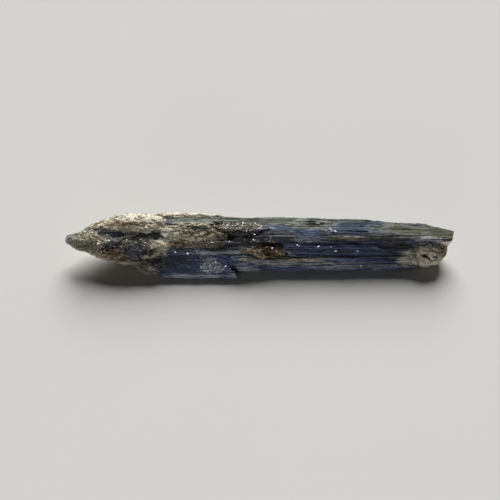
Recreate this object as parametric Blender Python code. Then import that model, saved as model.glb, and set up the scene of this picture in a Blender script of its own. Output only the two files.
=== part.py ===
"""Kyanite blade cluster: long flat-faced blades grown side by side into one splintery bar.

The host rock still sits on it in three places: a crust of pale mica on the tapered left end,
a rusty mica pocket in the front face and a knob of cream feldspar on the broken right end.
The bar lies along X on a flat cleavage face at Z = 0, with its front towards -Y.
Sizes below are in millimetres and degrees.
"""

import math
from dataclasses import dataclass

import bmesh
import bpy
import numpy as np
from mathutils import Euler, Matrix, Vector, noise

MM = 0.001
SEAM = 0.3  # the gap kept between two minerals that touch
CORNER = 0.1  # share of a blade's thickness that its long edges are planed off by
SLIVER = 0.02  # edges shorter than this are collapsed
RIDGE_SEED = 7


@dataclass
class Blade:
    """A flat-faced blade. Width runs across its broad face, which roll tips towards the front."""

    left: float
    right: float
    y: float
    z: float
    width: float
    thickness: float
    roll: float = 0.0
    pitch: float = 0.0
    yaw: float = 0.0
    left_cuts: tuple = ((0, 0, 0),)  # each (inset from the end, lean across the width, lean through it)
    right_cuts: tuple = ((0, 0, 0),)
    carrier: str = ""  # the main blade that a ridge grows on, and ends with

    @property
    def length(self):
        return self.right - self.left

    @property
    def turn(self):
        """Rotation from the blade's own axes (length, width, thickness) to the bar's."""
        angles = [math.radians(a) for a in (self.roll, self.pitch, self.yaw)]
        return Euler(angles, "XYZ").to_matrix()

    @property
    def place(self):
        middle = Vector(((self.left + self.right) / 2, self.y, self.z))
        return Matrix.Translation(middle) @ self.turn.to_4x4()


BLADES = {
    "core": Blade(
        -40, 46, 1.1, 3.9, 7.4, 5.4, left_cuts=((0, 20, 10),), right_cuts=((0, -14, 8),)
    ),
    "upper_left": Blade(
        -15, 17, 4.6, 7.35, 5.2, 4.8, roll=4, pitch=0.8, left_cuts=((0, -42, 20),), right_cuts=((0, 20, 0),)
    ),
    "upper_right": Blade(
        0, 54.6, 2.9, 7.1, 7.6, 4.6, roll=2, pitch=1.2,
        left_cuts=((5, 58, -12),), right_cuts=((0, -12, -16), (1.6, 73, 0), (-27.4, 86.5, 0)),
    ),
    "front_navy": Blade(
        6.5, 47, -0.5, 4.8, 7.3, 5.0, roll=46, left_cuts=((0, -30, 12),), right_cuts=((0, -18, 10),)
    ),
    "front_lower": Blade(
        -8, 46, -2.9, 2.0, 4.8, 5.0, roll=71, yaw=0.4, left_cuts=((0, 20, 25),), right_cuts=((0, -25, 5),)
    ),
    "base_right": Blade(
        -13, 45, 0.9, 2.2, 12.0, 4.4, left_cuts=((0, 12, 0),), right_cuts=((0, -20, 0),)
    ),
    "left_navy": Blade(
        -31.5, -7.6, -3.8, 2.2, 6.9, 5.6, roll=41, yaw=-0.8,
        left_cuts=((0, -38, 25),), right_cuts=((0, -16, 5),),
    ),
    "left_lip": Blade(
        -30, -7.9, 0.0, 1.5, 16.9, 2.3, roll=1, yaw=-0.5,
        left_cuts=((0, -12, 10),), right_cuts=((0, 8, 22),),
    ),
    "step_lip": Blade(-14, -0.6, 0.5, 1.4, 13.2, 2.3, yaw=0.6, right_cuts=((0, 10, 18),)),
    "mid_strip": Blade(
        -27, -3, -1.6, 5.7, 3.9, 3.4, roll=38, yaw=0.5,
        left_cuts=((0, -30, 0),), right_cuts=((0, 30, 0),),
    ),
    "dark_left": Blade(
        -45.5, -27.5, 1.3, 8.0, 3.1, 3.8, roll=43, yaw=-0.8,
        left_cuts=((0, -35, 0),), right_cuts=((0, 25, 20),),
    ),
    "pale_back": Blade(
        -31, -13, 5.0, 9.0, 3.1, 3.2, roll=4, left_cuts=((0, 25, 0),), right_cuts=((0, -40, -25),)
    ),
    "low_left": Blade(-40, -27, -2.2, 4.6, 4.4, 4.2, roll=52, pitch=-1.5, left_cuts=((0, -30, 0),)),
    "back_wall": Blade(
        -29, 41, 5.2, 4.3, 5.6, 4.0, roll=82, yaw=-0.5, left_cuts=((0, 28, 10),), right_cuts=((0, -30, 12),)
    ),
    "back_foot": Blade(
        -22, 24, 4.6, 2.2, 4.4, 4.8, roll=118, yaw=0.9, left_cuts=((0, -24, 0),), right_cuts=((0, 26, 14),)
    ),
}

# Thin blades that stand proud of a main one: how many, and on which of them.
RIDGES = {
    "upper_left": 9,
    "upper_right": 15,
    "front_navy": 9,
    "front_lower": 13,
    "left_navy": 9,
    "left_lip": 7,
    "step_lip": 3,
    "mid_strip": 4,
    "dark_left": 3,
    "base_right": 5,
    "back_wall": 16,
    "back_foot": 10,
}
RIDGE_WIDTH = (0.5, 1.9)
RIDGE_THICKNESS = (0.7, 1.5)
RIDGE_PROUD = (0.12, 0.5)
RIDGE_LENGTH_SHARE = (0.18, 0.6)
RIDGE_WANDER = 1.1  # largest angle between a ridge and the blade that carries it
RIDGE_LEAN = 62  # steepest lean of a ridge's broken end
RIDGE_PAST_END = 0.3  # share of its thickness that a ridge may stand past the end of its carrier


@dataclass
class Lump:
    """A rough ellipsoid of rock, its taper narrowing it towards -X."""

    centre: tuple
    radii: tuple
    rings: int
    segments: int
    taper: float = 0.0
    lift: float = 0.0  # how far its left end sits above its middle
    roll: float = 0.0
    rough: float = 0.45
    grain: float = 2.6  # size of the bumps


MICA_LUMPS = [
    Lump((-38.4, 0.3, 4.9), (17.0, 6.3, 4.4), 34, 26, taper=0.36, lift=2.3, rough=0.6),
    Lump((-38.0, 3.9, 8.9), (13.2, 3.7, 3.1), 28, 18, taper=0.3, lift=-2.2, rough=0.55),
    Lump((-33.2, -4.1, 2.7), (6.2, 3.8, 3.2), 18, 16, taper=0.3, lift=2.6, rough=0.5),
    Lump((-20.5, 1.0, 8.4), (11.5, 3.4, 1.5), 26, 16, roll=26, rough=0.4, grain=1.8),
    Lump((-28.5, -0.9, 6.9), (3.2, 3.0, 2.2), 12, 14, rough=0.4, grain=1.8),
    Lump((-23.0, 6.8, 9.6), (12.5, 1.5, 1.7), 24, 12, rough=0.35, grain=2.0),
]
RUSTY_LUMPS = [Lump((1.0, -2.1, 5.4), (6.0, 2.7, 2.4), 18, 16, roll=30, rough=0.45, grain=1.6)]
FELDSPAR_LUMPS = [Lump((47.4, -1.2, 3.7), (6.1, 4.8, 3.8), 20, 22, taper=-0.1, rough=0.5, grain=3.0)]
RUSTY_HOLLOW = Lump((2.9, -4.9, 7.2), (2.7, 1.9, 1.7), 10, 12, rough=0.2, grain=1.5)
TOP_PIT = Lump((14.4, 4.6, 9.9), (1.6, 0.8, 1.1), 8, 8, rough=0.15, grain=1.2)
FELDSPAR_PITS = [
    Lump((46.5, -5.4, 5.4), (1.0, 0.9, 0.9), 8, 8, rough=0.15, grain=1.0),
    Lump((49.3, -5.0, 4.9), (1.1, 0.9, 0.6), 8, 8, rough=0.15, grain=1.0),
    Lump((51.6, -3.6, 5.6), (0.9, 1.0, 0.9), 8, 8, rough=0.15, grain=1.0),
]

STONE_COLOURS = {
    "kyanite": ((0.035, 0.06, 0.16, 1.0), 0.35),
    "mica": ((0.38, 0.35, 0.26, 1.0), 0.6),
    "rust": ((0.20, 0.10, 0.04, 1.0), 0.7),
    "feldspar": ((0.45, 0.39, 0.29, 1.0), 0.65),
}


def clear_scene():
    for obj in list(bpy.data.objects):
        bpy.data.objects.remove(obj)


def collection(name, helper=False):
    made = bpy.data.collections.new(name)
    bpy.context.scene.collection.children.link(made)
    made.hide_render = helper
    return made


def stone(name):
    colour, roughness = STONE_COLOURS[name]
    material = bpy.data.materials.new(name)
    material.use_nodes = True
    shader = material.node_tree.nodes["Principled BSDF"]
    shader.inputs["Base Color"].default_value = colour
    shader.inputs["Roughness"].default_value = roughness
    shader.inputs["Metallic"].default_value = 0.0
    return material


def object_of(bm, name, home, helper=False):
    """Puts a bmesh, in millimetres, into an object of that collection."""
    bmesh.ops.scale(bm, vec=(MM, MM, MM), verts=bm.verts)
    mesh = bpy.data.meshes.new(name)
    bm.to_mesh(mesh)
    bm.free()
    obj = bpy.data.objects.new(name, mesh)
    home.objects.link(obj)
    if helper:
        obj.hide_render = True
        obj.display_type = "WIRE"
    return obj


def plane_off(bm, point, normal):
    """Cuts away what lies beyond a plane and closes the cut with a flat face."""
    parts = bm.verts[:] + bm.edges[:] + bm.faces[:]
    bmesh.ops.bisect_plane(bm, geom=parts, plane_co=point, plane_no=normal, clear_outer=True)
    bmesh.ops.holes_fill(bm, edges=[e for e in bm.edges if e.is_boundary])


def end_planes(blade):
    """The planes that the blade's two ends are cut along, as (point, normal) in the blade's own axes."""
    planes = []
    for end, cuts in ((-1, blade.left_cuts), (1, blade.right_cuts)):
        for inset, across, through in cuts:
            normal = Vector((end, math.tan(math.radians(across)), math.tan(math.radians(through))))
            planes.append((Vector((end * (blade.length / 2 - inset), 0, 0)), normal.normalized()))
    return planes


def blade_mesh(blade, grow):
    """A box with its long edges planed off and its ends cut at a lean, then turned into place."""
    half = Vector((blade.length, blade.width, blade.thickness)) / 2
    bm = bmesh.new()
    bmesh.ops.create_cube(bm, size=2.0)
    bmesh.ops.scale(bm, vec=(half.x * 1.3, half.y + grow, half.z + grow), verts=bm.verts)
    corner = CORNER * min(blade.width, blade.thickness)
    for side in (-1, 1):
        for face in (-1, 1):
            normal = Vector((0.0, side, face)).normalized()
            edge = Vector((0.0, side * (half.y - corner), face * half.z))
            plane_off(bm, edge + normal * grow, normal)
    for point, normal in end_planes(blade):
        plane_off(bm, point + normal * grow, normal)
    bmesh.ops.transform(bm, matrix=blade.place, verts=bm.verts)
    if blade.carrier:
        carrier = BLADES[blade.carrier]
        past = RIDGE_PAST_END * blade.thickness + grow
        for point, normal in end_planes(carrier):
            plane_off(bm, carrier.place @ (point + normal * past), carrier.turn @ normal)
    return bm


def ridge_on(name, rng):
    """A thin blade whose outer face stands a little proud of one face of its carrier."""
    carrier = BLADES[name]
    length = carrier.length * rng.uniform(*RIDGE_LENGTH_SHARE)
    along = rng.uniform(-0.5, 0.5) * (carrier.length - length)
    width = rng.uniform(*RIDGE_WIDTH)
    thickness = rng.uniform(*RIDGE_THICKNESS)
    proud = rng.uniform(*RIDGE_PROUD)
    on_broad_face = rng.uniform() < 0.65
    side = 1 if rng.uniform() < 0.7 else -1
    span = carrier.width if on_broad_face else carrier.thickness
    depth = carrier.thickness if on_broad_face else carrier.width
    across = rng.uniform(-0.5, 0.5) * (span - width)
    out = side * (depth / 2 + proud - thickness / 2)
    offset = Vector((along, across, out) if on_broad_face else (along, out, across))
    offset = carrier.turn @ offset
    middle = (carrier.left + carrier.right) / 2 + offset.x
    wander = rng.uniform(-RIDGE_WANDER, RIDGE_WANDER, 2)
    return Blade(
        middle - length / 2,
        middle + length / 2,
        carrier.y + offset.y,
        carrier.z + offset.z,
        width,
        thickness,
        roll=carrier.roll + (0 if on_broad_face else 90) + rng.uniform(-5, 5),
        pitch=carrier.pitch + wander[0],
        yaw=carrier.yaw + wander[1],
        left_cuts=((0, *rng.uniform(-RIDGE_LEAN, RIDGE_LEAN, 2)),),
        right_cuts=((0, *rng.uniform(-RIDGE_LEAN, RIDGE_LEAN, 2)),),
        carrier=name,
    )


def all_blades():
    """The main blades by name, then the ridges that each of them carries."""
    rng = np.random.default_rng(RIDGE_SEED)
    blades = dict(BLADES)
    for name, count in RIDGES.items():
        for i in range(count):
            blades[f"{name}_ridge_{i}"] = ridge_on(name, rng)
    return blades


def lump_mesh(lump):
    """A sphere stretched along X, tapered and lifted towards its left end, and roughened by noise."""
    bm = bmesh.new()
    bmesh.ops.create_uvsphere(bm, u_segments=lump.segments, v_segments=lump.rings, radius=1.0)
    bmesh.ops.rotate(bm, cent=(0, 0, 0), matrix=Matrix.Rotation(math.pi / 2, 3, "Y"), verts=bm.verts)
    radii = Vector(lump.radii)
    centre = Vector(lump.centre)
    roll = Matrix.Rotation(math.radians(lump.roll), 3, "X")
    for vert in bm.verts:
        unit = vert.co.copy()
        leftness = max(0.0, -unit.x)
        squeeze = 1.0 - lump.taper * leftness
        stretched = Vector((unit.x * radii.x, unit.y * radii.y * squeeze, unit.z * radii.z * squeeze))
        stretched.z += lump.lift * leftness
        place = centre + roll @ stretched
        bump = noise.turbulence(place / lump.grain, 3, True) - 0.5
        vert.co = place + roll @ unit.normalized() * bump * 2 * lump.rough
    bmesh.ops.triangulate(bm, faces=bm.faces)
    return bm


def boolean(obj, operation, target):
    """Adds a Boolean with one object or with every object of a collection."""
    modifier = obj.modifiers.new(operation.lower(), "BOOLEAN")
    modifier.operation = operation
    modifier.solver = "EXACT"
    if isinstance(target, bpy.types.Collection):
        modifier.operand_type = "COLLECTION"
        modifier.collection = target
    else:
        modifier.object = target
    return modifier


def apply_modifiers(obj):
    graph = bpy.context.evaluated_depsgraph_get()
    graph.update()
    mesh = bpy.data.meshes.new_from_object(obj.evaluated_get(graph))
    obj.modifiers.clear()
    obj.data = mesh


def keep_largest_body(obj):
    """Deletes the chips that a cut leaves loose beside the main body."""
    bm = bmesh.new()
    bm.from_mesh(obj.data)
    unseen = set(bm.verts)
    bodies = []
    while unseen:
        body = {unseen.pop()}
        front = set(body)
        while front:
            front = {e.other_vert(v) for v in front for e in v.link_edges} & unseen
            unseen -= front
            body |= front
        bodies.append(body)
    bodies.sort(key=len)
    bmesh.ops.delete(bm, geom=[v for body in bodies[:-1] for v in body], context="VERTS")
    bm.to_mesh(obj.data)
    bm.free()


def collapse_slivers(obj):
    bm = bmesh.new()
    bm.from_mesh(obj.data)
    bmesh.ops.triangulate(bm, faces=bm.faces)
    bmesh.ops.dissolve_degenerate(bm, dist=SLIVER * MM, edges=bm.edges)
    bm.to_mesh(obj.data)
    bm.free()


def below_table(home):
    """The space under Z = 0, which the resting cleavage face is cut along."""
    bm = bmesh.new()
    bmesh.ops.create_cube(bm, size=1.0)
    bmesh.ops.scale(bm, vec=(140, 40, 20), verts=bm.verts)
    bmesh.ops.translate(bm, vec=(0, 0, -10), verts=bm.verts)
    return object_of(bm, "below_table", home, helper=True)


def build_kyanite(blades, home, cutters):
    """All the blades joined into one solid, with its pit sunk and its underside cut flat."""
    joined = collection("blades_to_join", helper=True)
    for name, blade in blades.items():
        if name != "core":
            object_of(blade_mesh(blade, 0.0), name, joined, helper=True)
    obj = object_of(blade_mesh(blades["core"], 0.0), "kyanite_blades", home)
    boolean(obj, "UNION", joined)
    for cutter in cutters:
        boolean(obj, "DIFFERENCE", cutter)
    obj.data.materials.append(stone("kyanite"))
    apply_modifiers(obj)
    keep_largest_body(obj)
    return obj


def build_rock(name, lumps, material, home, helpers, cutters):
    """Lumps joined into one solid, then cut back from everything in cutters."""
    obj = object_of(lump_mesh(lumps[0]), name, home)
    for lump in lump_objects(f"{name}_lump", lumps[1:], helpers):
        boolean(obj, "UNION", lump)
    for cutter in cutters:
        boolean(obj, "DIFFERENCE", cutter)
    obj.data.materials.append(stone(material))
    apply_modifiers(obj)
    keep_largest_body(obj)
    collapse_slivers(obj)
    return obj


def lump_objects(name, lumps, helpers):
    return [object_of(lump_mesh(lump), f"{name}_{i}", helpers, helper=True) for i, lump in enumerate(lumps)]


def main():
    clear_scene()
    home = collection("kyanite_blade_cluster")
    helpers = collection("cutters", helper=True)
    table = below_table(helpers)
    blades = all_blades()
    build_kyanite(blades, home, [table, *lump_objects("top_pit", [TOP_PIT], helpers)])
    grown = collection("blades_with_seam", helper=True)
    for name, blade in blades.items():
        object_of(blade_mesh(blade, SEAM), f"{name}_seam", grown, helper=True)
    hollow = lump_objects("rusty_hollow", [RUSTY_HOLLOW], helpers)
    pits = lump_objects("feldspar_pit", FELDSPAR_PITS, helpers)
    build_rock("mica_crust", MICA_LUMPS, "mica", home, helpers, [grown, table])
    build_rock("rusty_mica", RUSTY_LUMPS, "rust", home, helpers, [grown, table, *hollow])
    build_rock("feldspar_end", FELDSPAR_LUMPS, "feldspar", home, helpers, [grown, table, *pits])


main()
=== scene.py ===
"""Kyanite blade cluster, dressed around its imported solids.

Long blue-black blades lie side by side along X. Pale mica rock still grips the tapered left end,
a rusty pocket sits in the front and a knob of cream feldspar closes the broken right end.
Sizes are in millimetres until a piece is put into the scene, which is in metres.
"""

import math

import bpy
import numpy as np
from mathutils import Euler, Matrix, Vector


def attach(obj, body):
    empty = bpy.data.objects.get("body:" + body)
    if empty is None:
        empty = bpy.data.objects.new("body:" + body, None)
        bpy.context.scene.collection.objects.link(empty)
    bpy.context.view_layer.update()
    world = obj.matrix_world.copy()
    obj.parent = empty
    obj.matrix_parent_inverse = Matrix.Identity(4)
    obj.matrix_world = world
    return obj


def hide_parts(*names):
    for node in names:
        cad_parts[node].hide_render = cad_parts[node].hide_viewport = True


MM = 0.001
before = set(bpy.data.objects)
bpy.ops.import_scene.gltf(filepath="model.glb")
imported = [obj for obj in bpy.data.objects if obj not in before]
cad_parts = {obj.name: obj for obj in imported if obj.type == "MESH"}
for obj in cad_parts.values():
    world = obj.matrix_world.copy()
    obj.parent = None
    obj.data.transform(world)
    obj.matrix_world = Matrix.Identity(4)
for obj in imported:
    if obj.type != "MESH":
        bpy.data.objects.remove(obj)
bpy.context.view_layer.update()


# ---- Camera -------------------------------------------------------------------------------------
# Stands in front of the bar, level with the table's edge and looking down at it, far enough away
# that the blades run straight across the view.

CAMERA_HEIGHT_ANGLE = 50.0
CAMERA_DISTANCE = 350 * MM
CAMERA_TARGET = Vector((-3.0, -1.59, 5.0)) * MM
CAMERA_LENS = 88.2
CAMERA_SENSOR = 36.0

lens = bpy.data.cameras.new("camera")
lens.lens = CAMERA_LENS
lens.sensor_width = CAMERA_SENSOR
lens.clip_start = 10 * MM
camera = bpy.data.objects.new("camera", lens)
bpy.context.scene.collection.objects.link(camera)
height_angle = math.radians(CAMERA_HEIGHT_ANGLE)
back = Vector((0.0, -math.cos(height_angle), math.sin(height_angle)))
camera.location = CAMERA_TARGET + back * CAMERA_DISTANCE
camera.rotation_euler = back.to_track_quat("Z", "Y").to_euler()
bpy.context.scene.camera = camera


# ---- Kyanite blades -----------------------------------------------------------------------------
# Flat triclinic blades, blue-black inside and paler where they are weathered. They grew side by
# side and through each other, and they cleave into long thin splinters. Each bundle below is one
# closed skin around a main blade and the thin ridges grown onto it.

UP_THE_FRONT = np.array((0.0, 0.766, 0.643))  # heights on the sloping front are measured this way
OUT_OF_THE_FRONT = np.array((0.0, -0.643, 0.766))
CORNER = 0.1  # share of a blade's thickness that its long edges are planed off by
RIDGE_PAST_END = 0.3  # share of its thickness that a ridge stands past the end of its blade

BLADES = {
    "core": dict(left=-40, right=46, y=1.1, z=3.9, width=7.4, thickness=5.4,
                 left_cuts=[(0, 20, 10)], right_cuts=[(0, -14, 8)]),
    "upper_left": dict(left=-15, right=17, y=4.6, z=7.35, width=5.2, thickness=4.8, roll=4, pitch=0.8,
                       left_cuts=[(0, -42, 20)], right_cuts=[(0, 20, 0)]),
    "upper_right": dict(left=0, right=54.6, y=2.9, z=7.1, width=7.6, thickness=4.6, roll=2, pitch=1.2,
                        worn=0.3, left_cuts=[(5, 58, -12)],
                        right_cuts=[(0, -12, -16), (1.6, 73, 0), (-27.4, 86.5, 0)]),
    "front_navy": dict(left=6.5, right=47, y=-0.5, z=4.8, width=7.3, thickness=5.0, roll=46,
                       left_cuts=[(0, -30, 12)], right_cuts=[(0, -18, 10)]),
    "front_lower": dict(left=-8, right=46, y=-2.9, z=2.0, width=4.8, thickness=5.0, roll=71, yaw=0.4,
                        left_cuts=[(0, 20, 25)], right_cuts=[(0, -25, 5)]),
    "base_right": dict(left=-13, right=45, y=0.9, z=2.2, width=12.0, thickness=4.4,
                       left_cuts=[(0, 12, 0)], right_cuts=[(0, -20, 0)]),
    "left_navy": dict(left=-31.5, right=-7.6, y=-3.8, z=2.2, width=6.9, thickness=5.6, roll=41, yaw=-0.8,
                      left_cuts=[(0, -38, 25)], right_cuts=[(0, -16, 5)]),
    "left_lip": dict(left=-30, right=-7.9, y=0.0, z=1.5, width=16.9, thickness=2.3, roll=1, yaw=-0.5,
                     left_cuts=[(0, -12, 10)], right_cuts=[(0, 8, 22)]),
    "step_lip": dict(left=-14, right=-0.6, y=0.5, z=1.4, width=13.2, thickness=2.3, yaw=0.6,
                     right_cuts=[(0, 10, 18)]),
    "mid_strip": dict(left=-27, right=-3, y=-1.6, z=5.7, width=3.9, thickness=3.4, roll=38, yaw=0.5,
                      left_cuts=[(0, -30, 0)], right_cuts=[(0, 30, 0)]),
    "dark_left": dict(left=-45.5, right=-27.5, y=1.3, z=8.0, width=3.1, thickness=3.8, roll=43, yaw=-0.8,
                      left_cuts=[(0, -35, 0)], right_cuts=[(0, 25, 20)]),
    "pale_back": dict(left=-31, right=-13, y=5.0, z=9.0, width=3.1, thickness=3.2, roll=4,
                      left_cuts=[(0, 25, 0)], right_cuts=[(0, -40, -25)]),
    "low_left": dict(left=-40, right=-27, y=-2.2, z=4.6, width=4.4, thickness=4.2, roll=52, pitch=-1.5,
                     left_cuts=[(0, -30, 0)]),
    "back_wall": dict(left=-29, right=41, y=5.2, z=4.3, width=5.6, thickness=4.0, roll=82, yaw=-0.5,
                      left_cuts=[(0, 28, 10)], right_cuts=[(0, -30, 12)]),
    "back_foot": dict(left=-22, right=24, y=4.6, z=2.2, width=4.4, thickness=4.8, roll=118, yaw=0.9,
                      left_cuts=[(0, -24, 0)], right_cuts=[(0, 26, 14)]),
}

# Thin ridges stand proud of these blades. They are drawn in this order, from one run of numbers.
RIDGES = {"upper_left": 9, "upper_right": 15, "front_navy": 9, "front_lower": 13, "left_navy": 9,
          "left_lip": 7, "step_lip": 3, "mid_strip": 4, "dark_left": 3, "base_right": 5,
          "back_wall": 16, "back_foot": 10}
RIDGE_SEED = 7
RIDGE_WIDTH = (0.5, 1.9)
RIDGE_THICKNESS = (0.7, 1.5)
RIDGE_PROUD = (0.04, 0.3)
RIDGE_LENGTH_SHARE = (0.18, 0.6)
RIDGE_WANDER = 1.1  # how far a ridge turns off its carrier's direction, in degrees
RIDGE_ROLL = 5  # how far it rolls off the face that it stands on
RIDGE_LEAN = 62  # how far its broken ends lean
ON_BROAD_FACE = 0.65  # share of the ridges that stand on a broad face
ON_OUTER_SIDE = 0.7  # share that stand on the outer of the two faces


def turned(blade):
    """The blade's own axes as rows: along its length, across its width, through its thickness."""
    angles = [math.radians(blade.get(name, 0.0)) for name in ("roll", "pitch", "yaw")]
    return np.array(Euler(angles, "XYZ").to_matrix()).T


def middle(blade):
    """The middle of a blade, in the bar's axes."""
    return np.array(((blade["left"] + blade["right"]) / 2, blade["y"], blade["z"]))


def end_planes(blade):
    """Each end's cuts as planes in the blade's own axes: normals, and distances along them."""
    half = (blade["right"] - blade["left"]) / 2
    normals, reach = [], []
    for end, cuts in ((-1, blade.get("left_cuts")), (1, blade.get("right_cuts"))):
        for inset, across, through in cuts or [(0, 0, 0)]:
            normal = np.array((end, math.tan(math.radians(across)), math.tan(math.radians(through))))
            length = np.linalg.norm(normal)
            normals.append(normal / length)
            reach.append((half - inset) / length)
    return np.array(normals), np.array(reach)


def lath(blade):
    """A blade as the planes that bound it, in the bar's axes: normals, and distances along them.

    Four faces, four planed corners and the end cuts; a ridge also ends with its carrier.
    """
    axes, centre = turned(blade), middle(blade)
    half_width, half_thickness = blade["width"] / 2, blade["thickness"] / 2
    corner = CORNER * min(blade["width"], blade["thickness"])
    normals = [(0, 1, 0), (0, -1, 0), (0, 0, 1), (0, 0, -1)]
    reach = [half_width, half_width, half_thickness, half_thickness]
    for side in (-1, 1):
        for face in (-1, 1):
            normals.append((0, side * math.sqrt(0.5), face * math.sqrt(0.5)))
            reach.append((half_width - corner + half_thickness) * math.sqrt(0.5))
    end_normals, end_reach = end_planes(blade)
    normals = np.concatenate([np.array(normals, float), end_normals]) @ axes
    reach = np.concatenate([reach, end_reach]) + normals @ centre
    if "carrier" in blade:
        carrier = BLADES[blade["carrier"]]
        past, past_reach = end_planes(carrier)
        past = past @ turned(carrier)
        past_reach = past_reach + past @ middle(carrier) + RIDGE_PAST_END * blade["thickness"]
        normals = np.concatenate([normals, past])
        reach = np.concatenate([reach, past_reach])
    return normals, reach


def ridge_on(name, rng):
    """A thin blade whose outer face stands a little proud of one face of its carrier."""
    carrier = BLADES[name]
    carrier_length = carrier["right"] - carrier["left"]
    length = carrier_length * rng.uniform(*RIDGE_LENGTH_SHARE)
    along = rng.uniform(-0.5, 0.5) * (carrier_length - length)
    width = rng.uniform(*RIDGE_WIDTH)
    thickness = rng.uniform(*RIDGE_THICKNESS)
    proud = rng.uniform(*RIDGE_PROUD) * carrier.get("worn", 1.0)
    on_broad_face = rng.uniform() < ON_BROAD_FACE
    side = 1 if rng.uniform() < ON_OUTER_SIDE else -1
    faces = (carrier["width"], carrier["thickness"])
    span, depth = faces if on_broad_face else faces[::-1]
    across = rng.uniform(-0.5, 0.5) * (span - width)
    out = side * (depth / 2 + proud - thickness / 2)
    offset = np.array((along, across, out) if on_broad_face else (along, out, across))
    centre = middle(carrier) + offset @ turned(carrier)
    wander = rng.uniform(-RIDGE_WANDER, RIDGE_WANDER, 2)
    roll = carrier.get("roll", 0) + (0 if on_broad_face else 90) + rng.uniform(-RIDGE_ROLL, RIDGE_ROLL)
    return dict(left=centre[0] - length / 2, right=centre[0] + length / 2, y=centre[1], z=centre[2],
                width=width, thickness=thickness, roll=roll,
                pitch=carrier.get("pitch", 0) + wander[0], yaw=carrier.get("yaw", 0) + wander[1],
                left_cuts=[(0, *rng.uniform(-RIDGE_LEAN, RIDGE_LEAN, 2))],
                right_cuts=[(0, *rng.uniform(-RIDGE_LEAN, RIDGE_LEAN, 2))], carrier=name)


ridge_rng = np.random.default_rng(RIDGE_SEED)
ridges = {name: [ridge_on(name, ridge_rng) for _ in range(count)] for name, count in RIDGES.items()}

BOX_PRIMES = (73856093, 19349663, 83492791)  # these keep neighbouring boxes from drawing alike
SEED_PRIME = 40503
SALTS = (0, 2654435761, 805459861)  # one for each of the three numbers
STIRRER = 0x45D9F3B
LAST_32_BITS = 0xFFFFFFFF
DRAW_STEPS = 4096  # a grain's numbers are rounded to these before they are drawn afresh
FAR_AWAY = 99.0  # farther than anything reaches, in mm or in boxes


def scatter(cubes, seed):
    """Three even random numbers from 0 to 1 for each triple of whole numbers, always the same ones.

    The triple and the seed are summed with large primes, and the sum's bits are stirred twice.
    """
    start = (cubes.astype(np.int64) * BOX_PRIMES).sum(axis=-1) + seed * SEED_PRIME
    drawn = []
    for salt in SALTS:
        bits = (start + salt) & LAST_32_BITS
        for _ in range(2):
            bits = ((bits ^ (bits >> 16)) * STIRRER) & LAST_32_BITS
        drawn.append((bits ^ (bits >> 16)) / LAST_32_BITS)
    return np.stack(drawn, axis=-1)


def grains(points, size, seed):
    """Parts space into uneven grains, one seed point to each box of that size.

    Each point belongs to the nearest seed. Gives the grain's three random numbers, the way from
    its seed to the point in box sizes, and the gap between the nearest and second nearest seed.
    """
    places = points / size
    home = np.floor(places)
    nearest = np.full(len(places), FAR_AWAY)
    second = nearest.copy()
    drawn = np.zeros_like(places)
    away = np.zeros_like(places)
    for step in np.ndindex(3, 3, 3):
        cube = home + (np.array(step) - 1)
        random = scatter(cube, seed)
        offset = places - cube - random
        distance = np.linalg.norm(offset, axis=1)
        nearer = distance < nearest
        second = np.where(nearer, nearest, np.minimum(second, distance))
        nearest = np.where(nearer, distance, nearest)
        drawn[nearer] = random[nearer]
        away[nearer] = offset[nearer]
    return scatter(np.floor(drawn * DRAW_STEPS), seed + 1), away, second - nearest


def swell(points, size, seed):
    """Smooth noise from -1 to 1: random heights at the corners of boxes of that size, blended
    across each box along a curve that is level at both ends."""
    places = points / size
    home = np.floor(places)
    share = places - home
    share = share * share * (3 - 2 * share)
    total = np.zeros(len(places))
    for step in np.ndindex(2, 2, 2):
        weight = np.prod(np.where(np.array(step) == 1, share, 1 - share), axis=1)
        total += weight * scatter(home + step, seed)[:, 0]
    return total * 2 - 1


def ramp(low, high, values):
    """0 below low, 1 above high, an S-curve between."""
    share = np.clip((values - low) / (high - low), 0, 1)
    return share * share * (3 - 2 * share)


def mesh_piece(name, points, faces, marks):
    """Puts points in millimetres and faces into an object at the origin, with its marks as attributes."""
    mesh = bpy.data.meshes.new(name)
    mesh.from_pydata((np.asarray(points) * MM).tolist(), [], [list(face) for face in faces])
    for mark, values in marks.items():
        layer = mesh.attributes.new(mark, "FLOAT", "POINT")
        layer.data.foreach_set("value", np.asarray(values, np.float32))
    mesh.shade_smooth()
    piece = bpy.data.objects.new(name, mesh)
    bpy.context.scene.collection.objects.link(piece)
    return piece


def skin_faces(rings, around):
    """Quads of a tube of rings, first to last along +X, and a fan on a single point at each end."""
    ring = np.arange(rings - 1)[:, None] * around
    spot = np.arange(around)[None, :]
    after = (spot + 1) % around
    quads = np.stack([ring + spot, ring + after, ring + around + after, ring + around + spot], axis=-1)
    first, last = rings * around, rings * around + 1
    spot, after = spot[0], after[0]
    top = (rings - 1) * around
    start = np.stack([np.full(around, first), after, spot], axis=-1)
    finish = np.stack([np.full(around, last), top + spot, top + after], axis=-1)
    return quads.reshape(-1, 4).tolist() + start.tolist() + finish.tolist()


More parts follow.
